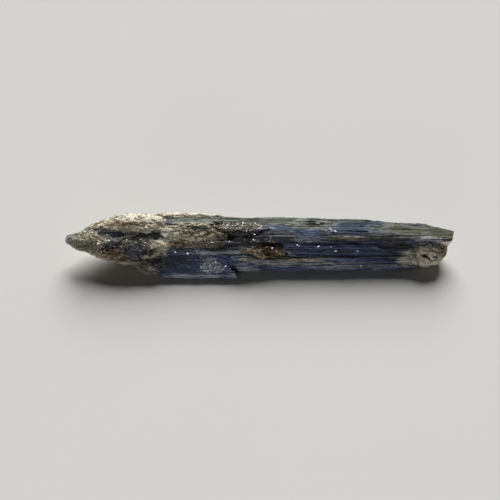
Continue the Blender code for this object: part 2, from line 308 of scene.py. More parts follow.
# Where the surface is stained or weathered, or painted dark as shade, as soft patches seen from
# the front and above. Each is (place along X, height up the front, half length, half height,
# strength), all but the last in mm.
PATCHES = {
    "pale": [
        (-1.3, 10.3, 12.6, 1.1, 1), (13.4, 9.4, 6.4, 1.4, 1.4), (25.6, 10.7, 14.3, 0.7, 0.8),
        (39.3, 8.3, 9.1, 2.0, 0.6), (48.3, 6.6, 3.9, 0.7, 0.95), (-19.6, 10.3, 6.9, 1.1, 1),
        (36.6, 6.8, 3.9, 0.6, 0.8), (48.9, 7.4, 7.6, 2.9, 1), (-7.0, 10.9, 7.4, 0.9, 0.8),
    ],
    "denim": [
        (13.7, 6.0, 7.3, 2.0, 1), (29.0, 8.1, 8.0, 2.1, 1), (-26.3, 10.4, 3.9, 1.3, 1),
        (9.1, 6.6, 9.3, 2.0, 0.9), (-19.3, -4.9, 12.3, 1.4, 0.6),
    ],
    "azure": [
        (-13.4, -2.6, 3.6, 2.6, 0.6), (-11.9, -0.7, 2.6, 1.9, 0.42), (-9.7, -2.6, 2.1, 2.0, 0.45),
        (-19.6, -0.6, 2.3, 1.4, 0.2), (-22.7, -2.4, 2.6, 1.6, 0.2), (-26.6, 10.4, 3.0, 0.7, 0.3),
        (-16.1, 0.9, 1.7, 1.1, 0.5), (-19.3, -1.7, 2.0, 2.0, 0.28),
    ],
    "ash": [
        (7.1, 1.1, 1.3, 0.8, 1), (13.6, 4.9, 6.9, 0.7, 0.7), (45.0, 4.6, 1.1, 0.6, 0.7),
        (-22.1, 1.6, 4.9, 0.4, 0.35), (-11.3, 1.3, 11.7, 0.6, 0.8), (-3.3, -1.1, 3.7, 3.1, 0.35),
        (5.1, -1.0, 7.6, 1.6, 1.15), (16.4, -0.4, 8.0, 0.4, 0.85), (24.1, -2.4, 15.7, 1.3, 0.5),
        (-3.7, -3.7, 4.1, 0.9, 0.8), (-19.0, -5.6, 11.1, 0.7, 0.5), (-23.0, 3.0, 5.7, 1.0, 0.3),
        (22.4, -2.7, 6.0, 0.7, 0.7), (40.6, 2.3, 6.4, 2.6, 0.45), (-8.0, -5.1, 2.1, 1.4, 0.6),
        (47.6, 5.1, 4.3, 1.4, 0.55), (-44.4, 6.3, 2.0, 1.4, 0.7), (39.1, 7.4, 9.3, 1.4, 0.4),
    ],
    "white": [
        (-16.9, 1.7, 1.3, 1.1, 0.5), (-15.3, 0.4, 1.7, 1.6, 0.6), (-14.4, -1.9, 2.0, 1.9, 0.9),
        (-12.3, -3.1, 2.4, 1.7, 0.6), (-15.7, -3.7, 1.6, 1.7, 0.65), (19.7, 7.7, 2.1, 0.9, 0.36),
        (-25.1, 10.1, 2.1, 0.5, 0.25), (8.7, 7.0, 0.6, 0.4, 0.55),
    ],
    "olive": [
        (23.7, 5.1, 3.9, 0.6, 1.2), (31.9, 5.7, 2.9, 0.6, 1), (38.7, 5.7, 4.6, 0.6, 0.9),
        (14.4, 9.4, 1.6, 0.9, 1), (41.9, 7.7, 6.0, 1.7, 0.5), (42.7, 6.6, 4.0, 0.9, 0.5),
        (52.1, 6.9, 5.4, 2.3, 0.75), (9.6, -0.6, 8.0, 0.8, 0.5), (-4.4, 9.1, 4.9, 1.7, 0.4),
        (27.0, -0.6, 2.9, 0.9, 0.4), (44.7, 7.6, 3.7, 0.7, 0.5),
    ],
    "rust": [
        (2.4, 1.9, 2.6, 2.7, 0.8), (-1.9, 1.7, 2.9, 2.3, 0.7), (28.0, 5.1, 2.1, 0.6, 0.85),
        (41.6, 8.4, 0.9, 0.7, 0.45), (51.7, 2.7, 1.6, 2.1, 0.5), (-14.4, 4.1, 5.7, 1.3, 0.4),
        (41.1, 5.2, 1.6, 0.6, 0.75),
    ],
    "grime": [
        (-3.3, -0.4, 3.7, 1.0, 0.7), (11.9, -0.7, 5.1, 0.7, 0.4), (-10.7, 8.7, 2.6, 1.3, 0.8),
        (-5.0, 8.3, 5.4, 2.6, 0.6), (-18.0, 3.9, 9.9, 1.6, 0.6), (-2.1, 1.7, 3.7, 3.1, 0.75),
        (3.0, 2.0, 2.6, 3.4, 0.5),
    ],
    "cream": [
        (39.9, 2.1, 4.6, 2.1, 0.25), (44.1, -0.3, 3.7, 2.9, 0.8), (40.6, -1.4, 2.4, 1.4, 0.7),
        (43.3, 1.7, 2.3, 1.4, 0.4), (45.1, 2.4, 2.1, 1.6, 0.75), (53.9, 3.6, 2.3, 1.0, 0.9),
        (37.9, 0.1, 2.6, 1.6, 0.4), (-29.6, 1.4, 1.4, 1.1, 0.5), (14.4, -0.7, 3.1, 0.7, 0.35),
    ],
    # Near-black: dark kyanite, and painted shade under the crust, in the furrow and on lit top lips.
    "dark_and_shade": [
        (-5.0, 0.2, 3.7, 0.5, 0.7), (43.0, 5.6, 3.7, 0.6, 0.8), (49.6, 5.3, 4.0, 0.5, 0.6),
        (-8.4, 2.9, 8.9, 1.0, 0.7), (4.9, 6.9, 6.4, 1.1, 0.6), (6.4, 6.1, 6.0, 0.6, 0.7),
        (33.9, 6.3, 6.6, 0.6, 0.8), (21.6, 6.2, 6.3, 0.5, 0.95), (-29.3, -2.4, 2.9, 3.9, 0.35),
        (-23.0, 2.6, 5.7, 0.6, 0.5), (31.4, -2.0, 7.0, 1.4, 0.4), (35.0, 5.4, 6.0, 0.7, 1),
        (0.4, 5.7, 10.6, 1.7, 0.7), (32.0, 4.9, 2.4, 0.5, 0.7), (38.9, 4.9, 4.7, 0.5, 0.9),
        (22.7, 4.6, 2.9, 0.4, 0.8), (47.0, 4.6, 3.1, 0.4, 0.4), (-34.4, 6.0, 8.0, 1.4, 1),
        (-41.9, 8.0, 7.4, 0.9, 1.3), (-23.6, -1.7, 5.7, 2.6, 0.45), (38.4, 3.1, 4.9, 1.4, 0.85),
        (37.3, 0.1, 2.6, 1.9, 0.6), (42.0, -3.4, 3.6, 0.4, 0.7), (53.1, 4.9, 1.6, 0.4, 0.8),
    ],
}
HIDDEN_SIDE = {"pale": 0.7, "denim": 0.6, "azure": 0.3, "ash": 0.6, "white": 0.25, "olive": 0.45,
               "rust": 0.2, "grime": 0.35, "cream": 0.2, "dark_and_shade": 0.3}
FRONT_EDGE = (0.0, 0.3)  # over this much facing the front, patches take over from the clouds
PATCH_EDGE = (1.5, 0.5)  # shares of its half size at which a patch is gone, and is full
CLOUD_SIZE = (15.0, 3.5, 3.5)
CLOUD_SEED = 50
CLOUD_SWING, CLOUD_LEVEL = 0.7, 0.3
SHADE_SIDE_FACING = (0.05, 0.35)  # how far the skin faces up and back where its painted shade starts, and is full


def stains(points, facing, patches_of, hidden_side):
    """How strong each stain is at each point.

    On what faces the front each patch is an ellipse along X and up the front. It is full within
    half its size and gone at one and a half times it, and of two patches the stronger counts. On
    the hidden sides long soft clouds of noise take over.
    """
    height = points @ UP_THE_FRONT
    front = ramp(*FRONT_EDGE, facing @ OUT_OF_THE_FRONT)
    marks = {}
    for number, (stain, patches) in enumerate(patches_of.items()):
        strength = np.zeros(len(points))
        for x, up, half_length, half_height, full in patches:
            reach = np.hypot((points[:, 0] - x) / half_length, (height - up) / half_height)
            strength = np.maximum(strength, full * ramp(*PATCH_EDGE, reach))
        cloud = swell(points, CLOUD_SIZE, CLOUD_SEED + number) * CLOUD_SWING + CLOUD_LEVEL
        marks[stain] = strength * front + np.clip(cloud, 0, 1) * hidden_side[stain] * (1 - front)
    return marks


def shade_side(facing):
    """1 where the stone faces up or back, which is painted darker there as shade and made duller; 0 on the
    front and underneath.
    """
    return ramp(*SHADE_SIDE_FACING, facing @ UP_THE_FRONT)


TOP_PIT = ((14.4, 4.6, 9.9), (1.6, 0.8, 0.75))  # centre and radii


def sunk_in(points, pits, out):
    """Points that stand over a pit drop onto its floor.

    The floor is the far half of an ellipsoid, and the drop is against the direction out.
    """
    for centre, radii in pits:
        offset = points - centre
        height = offset @ out
        flat = (offset - height[:, None] * out) / radii
        room = np.clip(1 - (flat**2).sum(axis=1), 0, None)
        floor = -np.sqrt(room) * np.linalg.norm(radii * out)
        drop = np.where(room > 0, np.minimum(height, floor) - height, 0)
        points = points + drop[:, None] * out
    return points


# (size of the grains, step between them, tilt, how much their tones differ)
SPLINTERS = [((17.0, 1.5, 1.5), 0.20, 0.10, 0.6), ((7.0, 0.6, 0.6), 0.11, 0.10, 0.4),
             ((2.6, 0.28, 0.28), 0.05, 0.03, 0.2)]
SPLINTER_SEED = 11
# smooth navy faces: (place along X, height up the front, half length, half height)
CALM = [(24.0, 1.2, 13.0, 2.4), (-26.0, -1.0, 6.5, 3.4), (34.0, 1.0, 8.0, 2.4)]
CALM_EDGE = (0.7, 1.2)  # shares of its half size between which a calm place turns rough
CALM_ROUGHNESS = 0.35  # share of the splinters' relief that it keeps


def splintered(places, rough):
    """How far each point stands off a blade's flat face, and the tone of the splinter that it is on.

    Three sizes of long thin grains; each grain has its own height and its own slight tilt.
    """
    height = np.zeros(len(places))
    tone = np.zeros(len(places))
    for number, (size, step, tilt, tint) in enumerate(SPLINTERS):
        drawn, away, _ = grains(places, size, SPLINTER_SEED + number)
        lean = (drawn[:, 1] - 0.5) * away[:, 1] + (drawn[:, 2] - 0.5) * away[:, 2]
        height += ((drawn[:, 0] - 0.5) * step + lean * tilt) * rough
        tone += (drawn[:, 2] - 0.5) * tint
    return height, tone


CAP_STEPS = 7
CAP_BREAK = 0.5  # how deep the splinters of a broken end reach into it
CAP_SPLINTERS = (9.0, 0.9, 0.7)
CAP_SEED = 21
CAP_SUNK = 0.1  # how deep the ends count for the painted shade of the crevices
LET_IN = 0.12  # the splintered face is let in this far, so that it stays within its solid
EDGE_WEAR = 0.12  # how far the faces swell in and out between the splinters
EDGE_WEAR_SIZE = (5.0, 2.0, 2.0)
EDGE_WEAR_SEED = 31
HEART = 0.45  # share of a blade's thinner side that its middle line keeps from its faces
LEAST_REACH = 0.02
FULL_RELIEF_FROM = 0.8  # where a ray is shorter than this, its relief is less
SUNK_PER_MM = 2.5  # how fast the mark "sunk" grows with the depth of the relief
PARALLEL = 1e-5  # a ray slower than this against a plane never meets it


def blade_skin(name, members, step_along, step_round):
    """A closed skin around a blade and the others bundled with it.

    Rays leave the blade's middle line in slanted rings, each ring parallel to the nearer end cut.
    Each point lies where its ray leaves the farthest of the bundle's blades, moved in or out by the
    splinters. Each end closes with shrinking rings, pushed in by splinters too.
    """
    blade = BLADES[name]
    axes, centre = turned(blade), middle(blade)
    width, thickness = blade["width"], blade["thickness"]
    length = blade["right"] - blade["left"]
    rings, around = int(length / step_along), int(2 * (width + thickness) / step_round)

    walk = (np.arange(around) + 0.5) / around * 2 * (width + thickness)
    turns = np.cumsum([0, width / 2, thickness, width, thickness, width / 2])
    side = np.interp(walk, turns, np.array([0, 1, 1, -1, -1, 0]) * width / 2)
    face = np.interp(walk, turns, np.array([-1, -1, 1, 1, -1, -1]) * thickness / 2)

    left_inset, *left_lean = blade.get("left_cuts", [(0, 0, 0)])[0]
    right_inset, *right_lean = blade.get("right_cuts", [(0, 0, 0)])[0]
    share = np.linspace(0, 1, rings)[:, None]
    left_tilt, right_tilt = np.tan(np.radians(left_lean)), -np.tan(np.radians(right_lean))
    tilt = left_tilt * (1 - share) + right_tilt * share
    along = (left_inset - length / 2) * (1 - share) + (length / 2 - right_inset) * share

    def local(at_side, at_face):
        x = along + tilt[:, :1] * at_side + tilt[:, 1:] * at_face
        return np.stack([x, x * 0 + at_side, x * 0 + at_face], axis=-1)

    def crossed(member, starts, rays):
        """How far along its ray each start enters and leaves a blade."""
        normals, distances = lath(member)
        gap = distances - (starts @ axes + centre) @ normals.T
        speed = rays @ axes @ normals.T
        times = gap / np.where(np.abs(speed) < PARALLEL, 1, speed)
        leave = np.where(speed > PARALLEL, times, FAR_AWAY).min(axis=-1)
        return np.where(speed < -PARALLEL, times, -FAR_AWAY).max(axis=-1), leave

    line = local(0 * share, 0)
    low_side, high_side = crossed(blade, line, local(0 * share + 1, 0) - line)
    mid_side = (high_side + low_side) / 2
    side = (high_side - low_side) * side / width + mid_side
    heart = HEART * min(width, thickness)
    spare = np.maximum((high_side - low_side) / 2 - heart, 0)
    spine_side = np.clip(side, mid_side - spare, mid_side + spare)
    spine_face = np.clip(face, heart - thickness / 2, thickness / 2 - heart)
    out = np.stack(np.broadcast_arrays(side - spine_side, face - spine_face), axis=-1)
    out /= np.linalg.norm(out, axis=-1)[..., None]
    starts = local(spine_side, spine_face)
    rays = local(spine_side + out[..., 0], spine_face + out[..., 1]) - starts
    reach = np.full(starts.shape[:2], LEAST_REACH)
    for member in members:
        enter, leave = crossed(member, starts, rays)
        reach = np.maximum(reach, np.where(enter < leave, leave, 0))
    points = starts + rays * reach[..., None]

    flat = points.reshape(-1, 3)
    outward = (rays @ axes).reshape(-1, 3)
    outward /= np.linalg.norm(outward, axis=1)[:, None]
    bar_points = flat @ axes + centre
    up = bar_points @ UP_THE_FRONT
    rough = np.ones(len(flat))
    for x, height, half_length, half_height in CALM:
        inside = np.hypot((bar_points[:, 0] - x) / half_length, (up - height) / half_height)
        rough = np.minimum(rough, CALM_ROUGHNESS + (1 - CALM_ROUGHNESS) * ramp(*CALM_EDGE, inside))
    relief, tone = splintered(flat, rough)
    edge_wear = EDGE_WEAR * swell(flat, EDGE_WEAR_SIZE, EDGE_WEAR_SEED)
    room = np.minimum(1, reach.reshape(-1) / FULL_RELIEF_FROM)
    flat = flat + rays.reshape(-1, 3) * ((relief + edge_wear - LET_IN) * room)[:, None]
    skin = flat.reshape(rings, around, 3)

    caps = []
    for end, ring in ((-1, skin[0]), (1, skin[-1])):
        heart_point = ring.mean(axis=0)
        shrink = 1 - np.linspace(0, 1, CAP_STEPS + 1)[1:-1, None, None]
        cap = heart_point + (ring - heart_point) * shrink
        drawn, _, _ = grains(cap.reshape(-1, 3), CAP_SPLINTERS, CAP_SEED + end)
        push = CAP_BREAK * drawn[:, 0].reshape(cap.shape[:2])
        cap[..., 0] -= end * push
        caps.append(cap if end > 0 else cap[::-1])
        caps.append(heart_point - np.array((end * CAP_BREAK / 2, 0, 0)))
    low_cap, low_tip, high_cap, high_tip = caps
    body = np.concatenate([low_cap, skin, high_cap])
    every = np.concatenate([body.reshape(-1, 3), [low_tip, high_tip]]) @ axes + centre
    facing = np.concatenate([
        np.tile(-axes[0], (low_cap.shape[0] * around, 1)), outward,
        np.tile(axes[0], (high_cap.shape[0] * around, 1)), [-axes[0], axes[0]]])
    pad = low_cap.shape[0] * around
    tone = np.concatenate([np.zeros(pad), tone, np.zeros(pad), [0, 0]])
    sunk = np.concatenate([np.full(pad, CAP_SUNK), -relief, np.full(pad, CAP_SUNK), [0, 0]])
    every = sunk_in(every, [TOP_PIT], np.array((0.0, 0.0, 1.0)))
    marks = stains(every, facing, PATCHES, HIDDEN_SIDE)
    marks |= {"tone": tone + 0.5, "sunk": np.clip(0.5 + sunk * SUNK_PER_MM, 0, 1),
              "shaded_side": shade_side(facing)}
    every[:, 2] = np.maximum(every[:, 2], 0)
    return mesh_piece(name + "_skin", every, skin_faces(len(body), around), marks)


def add(tree, kind, inputs=(), **settings):
    """Adds a shader node. An input takes a plain value, or a socket that it is linked to."""
    made = tree.nodes.new(kind)
    for setting, value in settings.items():
        setattr(made, setting, value)
    for socket, value in dict(inputs).items():
        if isinstance(value, bpy.types.NodeSocket):
            tree.links.new(value, made.inputs[socket])
        else:
            made.inputs[socket].default_value = value
    return made


def maths(tree, operation, *values, clamp=False):
    """A number worked out from others."""
    return add(tree, "ShaderNodeMath", enumerate(values), operation=operation, use_clamp=clamp).outputs[0]


def ranged(tree, value, low, high, interpolation="LINEAR"):
    """0 where the value is at low, 1 where it is at high, and between them as it lies between."""
    return add(tree, "ShaderNodeMapRange", {0: value, 1: low, 2: high},
               interpolation_type=interpolation).outputs[0]


def mixed(tree, share, first, second, blend="MIX"):
    """A colour between two others."""
    colours = {socket: colour if isinstance(colour, bpy.types.NodeSocket) else (*colour, 1.0)
               for socket, colour in ((6, first), (7, second))}
    return add(tree, "ShaderNodeMix", {0: share, **colours}, data_type="RGBA", blend_type=blend).outputs[2]


def object_place(tree):
    """Where a point lies on the object, which carries every pattern."""
    return add(tree, "ShaderNodeTexCoord").outputs["Object"]


def cloudy(tree, place, scale, detail):
    """Plain noise, alike in every direction."""
    return add(tree, "ShaderNodeTexNoise", {"Vector": place, "Scale": scale, "Detail": detail}).outputs[0]


def new_group(name, inputs, outputs):
    """An empty shader node group with those sockets: (name, kind, value at first)."""
    group = bpy.data.node_groups.new(name, "ShaderNodeTree")
    for socket, kind, value in inputs:
        made = group.interface.new_socket(socket, in_out="INPUT", socket_type=kind)
        if value is not None:
            made.default_value = value
    for socket, kind in outputs:
        group.interface.new_socket(socket, in_out="OUTPUT", socket_type=kind)
    return group, group.nodes.new("NodeGroupInput").outputs, group.nodes.new("NodeGroupOutput").inputs


# Noise drawn out along the blades: Length and Width are the size of its streaks in mm.
streaks, given, result = new_group(
    "streaks",
    [("Place", "NodeSocketVector", None), ("Length", "NodeSocketFloat", 8.0),
     ("Width", "NodeSocketFloat", 0.5), ("Detail", "NodeSocketFloat", 3.0)],
    [("Streak", "NodeSocketFloat")],
)
per_length = maths(streaks, "DIVIDE", 1 / MM, given["Length"])
per_width = maths(streaks, "DIVIDE", 1 / MM, given["Width"])
stretch = add(streaks, "ShaderNodeCombineXYZ", {0: per_length, 1: per_width, 2: per_width}).outputs[0]
drawn_out = add(streaks, "ShaderNodeVectorMath", {0: given["Place"], 1: stretch}, operation="MULTIPLY")
noise = add(streaks, "ShaderNodeTexNoise",
            {"Vector": drawn_out.outputs[0], "Scale": 1.0, "Detail": given["Detail"], "Roughness": 0.6})
streaks.links.new(ranged(streaks, noise.outputs[0], 0.3, 0.7), result["Streak"])

# A stain's soft strength broken up by noise: full where the strength beats the noise.
stain_edge, given, result = new_group(
    "stain edge",
    [("Strength", "NodeSocketFloat", 0.0), ("Noise", "NodeSocketFloat", 0.5),
     ("Break up", "NodeSocketFloat", 1.0), ("Softness", "NodeSocketFloat", 0.2)],
    [("Mask", "NodeSocketFloat")],
)
LEAST_STAIN = 0.02
uneven = maths(stain_edge, "SUBTRACT", given["Noise"], 0.5)
uneven = maths(stain_edge, "MULTIPLY", uneven, given["Break up"])
level = maths(stain_edge, "ADD", given["Strength"], uneven)
low = maths(stain_edge, "SUBTRACT", 0.5, given["Softness"])
high = maths(stain_edge, "ADD", 0.5, given["Softness"])
mask = ranged(stain_edge, level, low, high, "SMOOTHSTEP")
has_some = maths(stain_edge, "GREATER_THAN", given["Strength"], LEAST_STAIN)
stain_edge.links.new(maths(stain_edge, "MULTIPLY", mask, has_some), result["Mask"])


def new_material(name):
    """A material with an empty node tree but for its Principled shader and its output."""
    material = bpy.data.materials.new(name)
    material.use_nodes = True
    tree = material.node_tree
    return material, tree, tree.nodes["Principled BSDF"]


def placed(tree, group, inputs):
    """Puts a group into a material and gives its output."""
    return add(tree, "ShaderNodeGroup", inputs, node_tree=group).outputs[0]


def streaked(tree, place, length, width, detail):
    """Streaks of that length and width in mm."""
    return placed(tree, streaks, {"Place": place, "Length": length, "Width": width, "Detail": detail})


def mark_value(tree, mark):
    """The mark that a piece's points carry under that name, or 0 where it has none."""
    return add(tree, "ShaderNodeAttribute", attribute_name=mark).outputs["Fac"]


# Colours of fresh and weathered kyanite and of what stains it, each from dark to light; the
# near-black stain is also painted shade. The last word is the noise that breaks the stain up.
NAVY = ((0.007, 0.013, 0.038), (0.105, 0.16, 0.38))
STEEL = (0.26, 0.30, 0.36)
STAINS = {
    "denim": ((0.03, 0.06, 0.125), (0.155, 0.265, 0.50), "streak"),
    "pale": ((0.19, 0.198, 0.165), (0.96, 0.98, 0.83), "mottle"),
    "azure": ((0.02, 0.055, 0.18), (0.26, 0.46, 0.95), "speck"),
    "ash": ((0.06, 0.072, 0.09), (0.78, 0.81, 0.83), "streak"),
    "grime": ((0.035, 0.028, 0.02), (0.80, 0.70, 0.50), "speck"),
    "white": ((0.14, 0.21, 0.36), (1.0, 1.0, 0.98), "speck"),
    "olive": ((0.036, 0.032, 0.012), (0.36, 0.325, 0.16), "mottle"),
    "rust": ((0.035, 0.014, 0.008), (0.52, 0.26, 0.10), "speck"),
    "cream": ((0.26, 0.23, 0.155), (1.0, 0.94, 0.76), "mottle"),
    # near-black kyanite, and painted shade
    "dark_and_shade": ((0.005, 0.005, 0.006), (0.052, 0.053, 0.063), "streak"),
}
STAIN_BREAK_UP = 1.5
STAIN_SOFTNESS = {"streak": 0.2, "mottle": 0.2, "speck": 0.1}
# What faces up or back, into the light from behind, is painted darker by the first of these, then greyed,
# as shade.
SIDE_SHADE_TINT = (0.70, 0.73, 0.70)
SIDE_SHADE_GREY = (0.055, 0.060, 0.058)
GREYED_BY = 0.38
# Painted shade: the deeper a point lies in the relief, the nearer it is painted to this colour.
CREVICE_SHADE = (0.012, 0.011, 0.01)
CREVICE_SHADE_FROM = 0.55
KYANITE_IOR = 1.72

kyanite, tree, shader = new_material("kyanite")
place = object_place(tree)
wide_streak = streaked(tree, place, 12.0, 1.1, 3.0)
mid_streak = streaked(tree, place, 5.0, 0.42, 3.0)
thin_streak = streaked(tree, place, 2.6, 0.2, 3.0)
blotch = streaked(tree, place, 4.5, 2.0, 6.0)
askew = add(tree, "ShaderNodeVectorRotate", {"Vector": place, "Rotation": (0.5, 0.7, 0.4)},
            rotation_type="EULER_XYZ").outputs[0]
speck = streaked(tree, askew, 0.8, 0.6, 5.0)
tone = mark_value(tree, "tone")
shaded_side = mark_value(tree, "shaded_side")
both = maths(tree, "MULTIPLY", maths(tree, "ADD", mid_streak, thin_streak), 0.5)
depth = maths(tree, "MULTIPLY_ADD", wide_streak, 0.3, maths(tree, "MULTIPLY", both, 0.5))
depth = maths(tree, "MULTIPLY_ADD", tone, 0.3, depth)
colour = mixed(tree, ranged(tree, depth, 0.36, 0.72), *NAVY)
# thin pale scratches, fewer where the stone faces up or back
scratch = ranged(tree, maths(tree, "MULTIPLY", mid_streak, thin_streak), 0.5, 0.85)
scratches_kept = maths(tree, "MULTIPLY_ADD", shaded_side, -0.6, 0.75)
colour = mixed(tree, maths(tree, "MULTIPLY", scratch, scratches_kept), colour, STEEL)
noises = {
    "streak": both,
    "speck": maths(tree, "MULTIPLY_ADD", speck, 0.75, maths(tree, "MULTIPLY", blotch, 0.25)),
    "mottle": maths(tree, "MULTIPLY_ADD", blotch, 0.5, maths(tree, "MULTIPLY", both, 0.5)),
}
stained = None
for stain, (dark_tint, light_tint, kind) in STAINS.items():
    noise = noises[kind]
    mask = placed(tree, stain_edge, {"Strength": mark_value(tree, stain), "Noise": noise,
                                     "Break up": STAIN_BREAK_UP, "Softness": STAIN_SOFTNESS[kind]})
    light = maths(tree, "MULTIPLY_ADD", tone, 0.3, maths(tree, "MULTIPLY", noise, 0.75), clamp=True)
    stain_colour = mixed(tree, ranged(tree, light, 0.28, 0.8), dark_tint, light_tint)
    colour = mixed(tree, mask, colour, stain_colour)
    stained = mask if stained is None else maths(tree, "MAXIMUM", stained, mask)
# painted shade on what faces up or back
side_shaded = mixed(tree, 1.0, colour, SIDE_SHADE_TINT, "MULTIPLY")
side_shaded = mixed(tree, GREYED_BY, side_shaded, SIDE_SHADE_GREY)
colour = mixed(tree, shaded_side, colour, side_shaded)
# painted shade in the crevices
crevice_shade = maths(tree, "SUBTRACT", mark_value(tree, "sunk"), CREVICE_SHADE_FROM, clamp=True)
colour = mixed(tree, maths(tree, "MULTIPLY", crevice_shade, 1.2, clamp=True), colour, CREVICE_SHADE)
tree.links.new(colour, shader.inputs["Base Color"])
# stains, and facing up or back, both take the gloss off
roughness = maths(tree, "MULTIPLY_ADD", stained, 0.3, maths(tree, "MULTIPLY_ADD", speck, 0.2, 0.25))
roughness = maths(tree, "MULTIPLY_ADD", shaded_side, 0.3, roughness)
tree.links.new(roughness, shader.inputs["Roughness"])
shader.inputs["IOR"].default_value = KYANITE_IOR
lines = maths(tree, "ADD", both, maths(tree, "MULTIPLY", speck, 0.4))
bump = add(tree, "ShaderNodeBump", {"Strength": 0.9, "Distance": 0.14 * MM, "Height": lines})
tree.links.new(bump.outputs[0], shader.inputs["Normal"])

# (step along the blade, step round it): fine where a blade is seen, coarse where it is mostly buried.
SKIN_STEPS = {"core": (0.4, 0.3), "base_right": (0.3, 0.22), "back_wall": (0.28, 0.17),
              "back_foot": (0.3, 0.18)}
FRONT_STEPS = (0.2, 0.12)
BLADE_SHARP_FROM = math.radians(32)  # steeper edges between faces stay crisp
skins = []
for name in BLADES:
    skin = blade_skin(name, [BLADES[name], *ridges.get(name, [])], *SKIN_STEPS.get(name, FRONT_STEPS))
    skin.data.materials.append(kyanite)
    skin.data.set_sharp_from_angle(angle=BLADE_SHARP_FROM)
    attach(skin, "root")
    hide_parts("kyanite_blades")
    skins.append(skin)


# ---- Mica crust ---------------------------------------------------------------------------------
# The schist that the blades grew in still grips the tapered left end: cream and brown grains of
# feldspar and quartz, full of small sheets of mica. A tongue of it runs on between the blades, and
# a thin pale strip of it follows the top edge. Each lump is a closed rough shell.

CRUST_LUMPS = {
    "crust_low": dict(centre=(-38.4, 0.3, 4.9), radii=(17.0, 6.3, 4.4), taper=0.36, lift=2.2, rough=0.45,
                      grown=0.25),
    "crust_high": dict(centre=(-38.0, 4.27, 8.8), radii=(13.2, 3.93, 3.1), taper=0.3, lift=-2.2, rough=0.4,
                       grown=0.22),
    "crust_bridge": dict(centre=(-30.0, 2.7, 9.1), radii=(4.6, 1.8, 1.4), rough=0.35, grain=1.6),
    "crust_foot": dict(centre=(-32.3, -4.2, 2.7), radii=(7.1, 3.9, 3.3), taper=0.3, lift=2.6, rough=0.5),
    "tongue": dict(centre=(-20.5, 1.0, 8.4), radii=(11.5, 3.4, 1.5), roll=26, rough=0.4, grain=1.8),
    "tongue_root": dict(centre=(-28.5, -0.9, 6.9), radii=(3.2, 3.0, 2.2), rough=0.4, grain=1.8),
    "top_strip": dict(centre=(-23.0, 6.8, 9.6), radii=(12.5, 1.5, 1.7), rough=0.2, grain=2.0),
    "crack_fill": dict(centre=(-13.6, 5.0, 9.6), radii=(3.2, 2.0, 1.2), rough=0.2, grain=1.2),
    "notch_fill": dict(centre=(-20.8, 3.2, 9.65), radii=(9.0, 1.5, 1.0), roll=20, rough=0.25, grain=1.2),
    "mound": dict(centre=(-5.2, 2.0, 8.8), radii=(4.6, 1.7, 1.2), roll=30, rough=0.35, grain=1.2),
    "furrow_fill": dict(centre=(-4.0, 0.3, 6.9), radii=(8.6, 2.9, 1.7), roll=24, rough=0.35, grain=1.8),
}
CRUST_STEP = 0.16
# (size of the grains, step between them, tilt), large to small
CRUST_GRAINS = [((2.8, 1.4, 1.4), 0.24, 0.2), ((1.0, 0.55, 0.55), 0.14, 0.14),
                ((0.42, 0.28, 0.28), 0.10, 0.08)]
CRUST_PATCHES = {
    "umber": [
        (-31.4, 2.7, 2.1, 2.4, 1.5), (-6.1, 8.0, 7.1, 2.3, 1.2), (-39.0, 2.1, 7.4, 3.9, 1),
        (-38.1, 5.6, 6.6, 1.3, 1), (-48.1, 7.6, 3.4, 0.6, 1), (-49.9, 2.6, 4.0, 1.1, 0.5),
        (-30.1, 3.7, 1.4, 1.7, 0.5), (-20.1, 7.6, 7.1, 1.3, 0.6), (-33.0, -2.9, 5.7, 3.1, 0.8),
        (-10.9, 5.1, 2.1, 2.0, 0.5),
    ],
    "rust": [
        (-40.4, 0.7, 4.3, 1.6, 0.85), (-37.1, 9.6, 5.0, 1.0, 0.75), (-30.9, 3.4, 1.6, 1.4, 0.6),
        (-17.9, 4.4, 8.6, 1.6, 0.75),
    ],
    "blue": [
        (-35.3, 1.9, 3.7, 2.1, 0.9), (-42.3, 3.7, 3.6, 1.1, 0.5), (-30.4, -2.4, 5.1, 3.9, 0.4),
        (-28.4, -1.9, 2.6, 2.7, 1.1),
    ],
    "green": [
        (-51.1, 3.3, 6.1, 5.6, 0.95),
    ],
    "grey": [
        (-12.0, 10.0, 2.7, 1.7, 0.8), (-55.3, 5.9, 2.0, 2.4, 1.5), (-33.7, -3.7, 5.0, 2.3, 0.5),
        (-44.1, 6.6, 1.7, 1.1, 0.6), (-18.3, 8.3, 9.0, 1.4, 0.5),
    ],
    "cream": [
        (-36.9, 11.9, 9.6, 1.0, 0.75), (-29.7, 8.9, 3.9, 3.4, 1.2), (-25.9, 5.9, 3.4, 1.3, 1),
        (-29.3, 3.6, 2.3, 1.6, 0.6), (-22.1, 12.6, 9.4, 1.1, 0.95), (-16.6, 4.6, 6.4, 1.4, 0.45),
        (-38.7, 11.1, 7.1, 1.1, 0.6), (-50.1, 0.0, 4.3, 1.4, 0.5), (-7.3, 9.4, 2.0, 0.9, 0.35),
        (-39.0, 8.0, 7.4, 0.9, 0.5),
    ],
    "bronze": [
        (-33.0, -3.6, 4.3, 2.1, 0.45), (-18.3, 6.6, 9.0, 3.4, 0.8), (-5.3, 8.1, 5.7, 2.4, 0.5),
    ],
    # Near-black rock, and painted shade in the furrow between the blades and along the slot under the
    # crust.
    "coal_and_shade": [
        (-36.7, 5.5, 8.6, 0.6, 0.5), (-5.9, 6.1, 6.9, 1.3, 0.8), (1.6, 4.3, 12.6, 1.7, 1.3),
        (-20.0, 8.6, 7.0, 0.6, 0.4),
    ],
}
CRUST_HIDDEN = {"umber": 0.8, "rust": 0.45, "blue": 0.2, "green": 0.75, "grey": 0.6, "cream": 0.6,
                "bronze": 0.6, "coal_and_shade": 0.2}

SHRUNK = 0.2  # the grains are let in this far, so that the shell stays within its solid
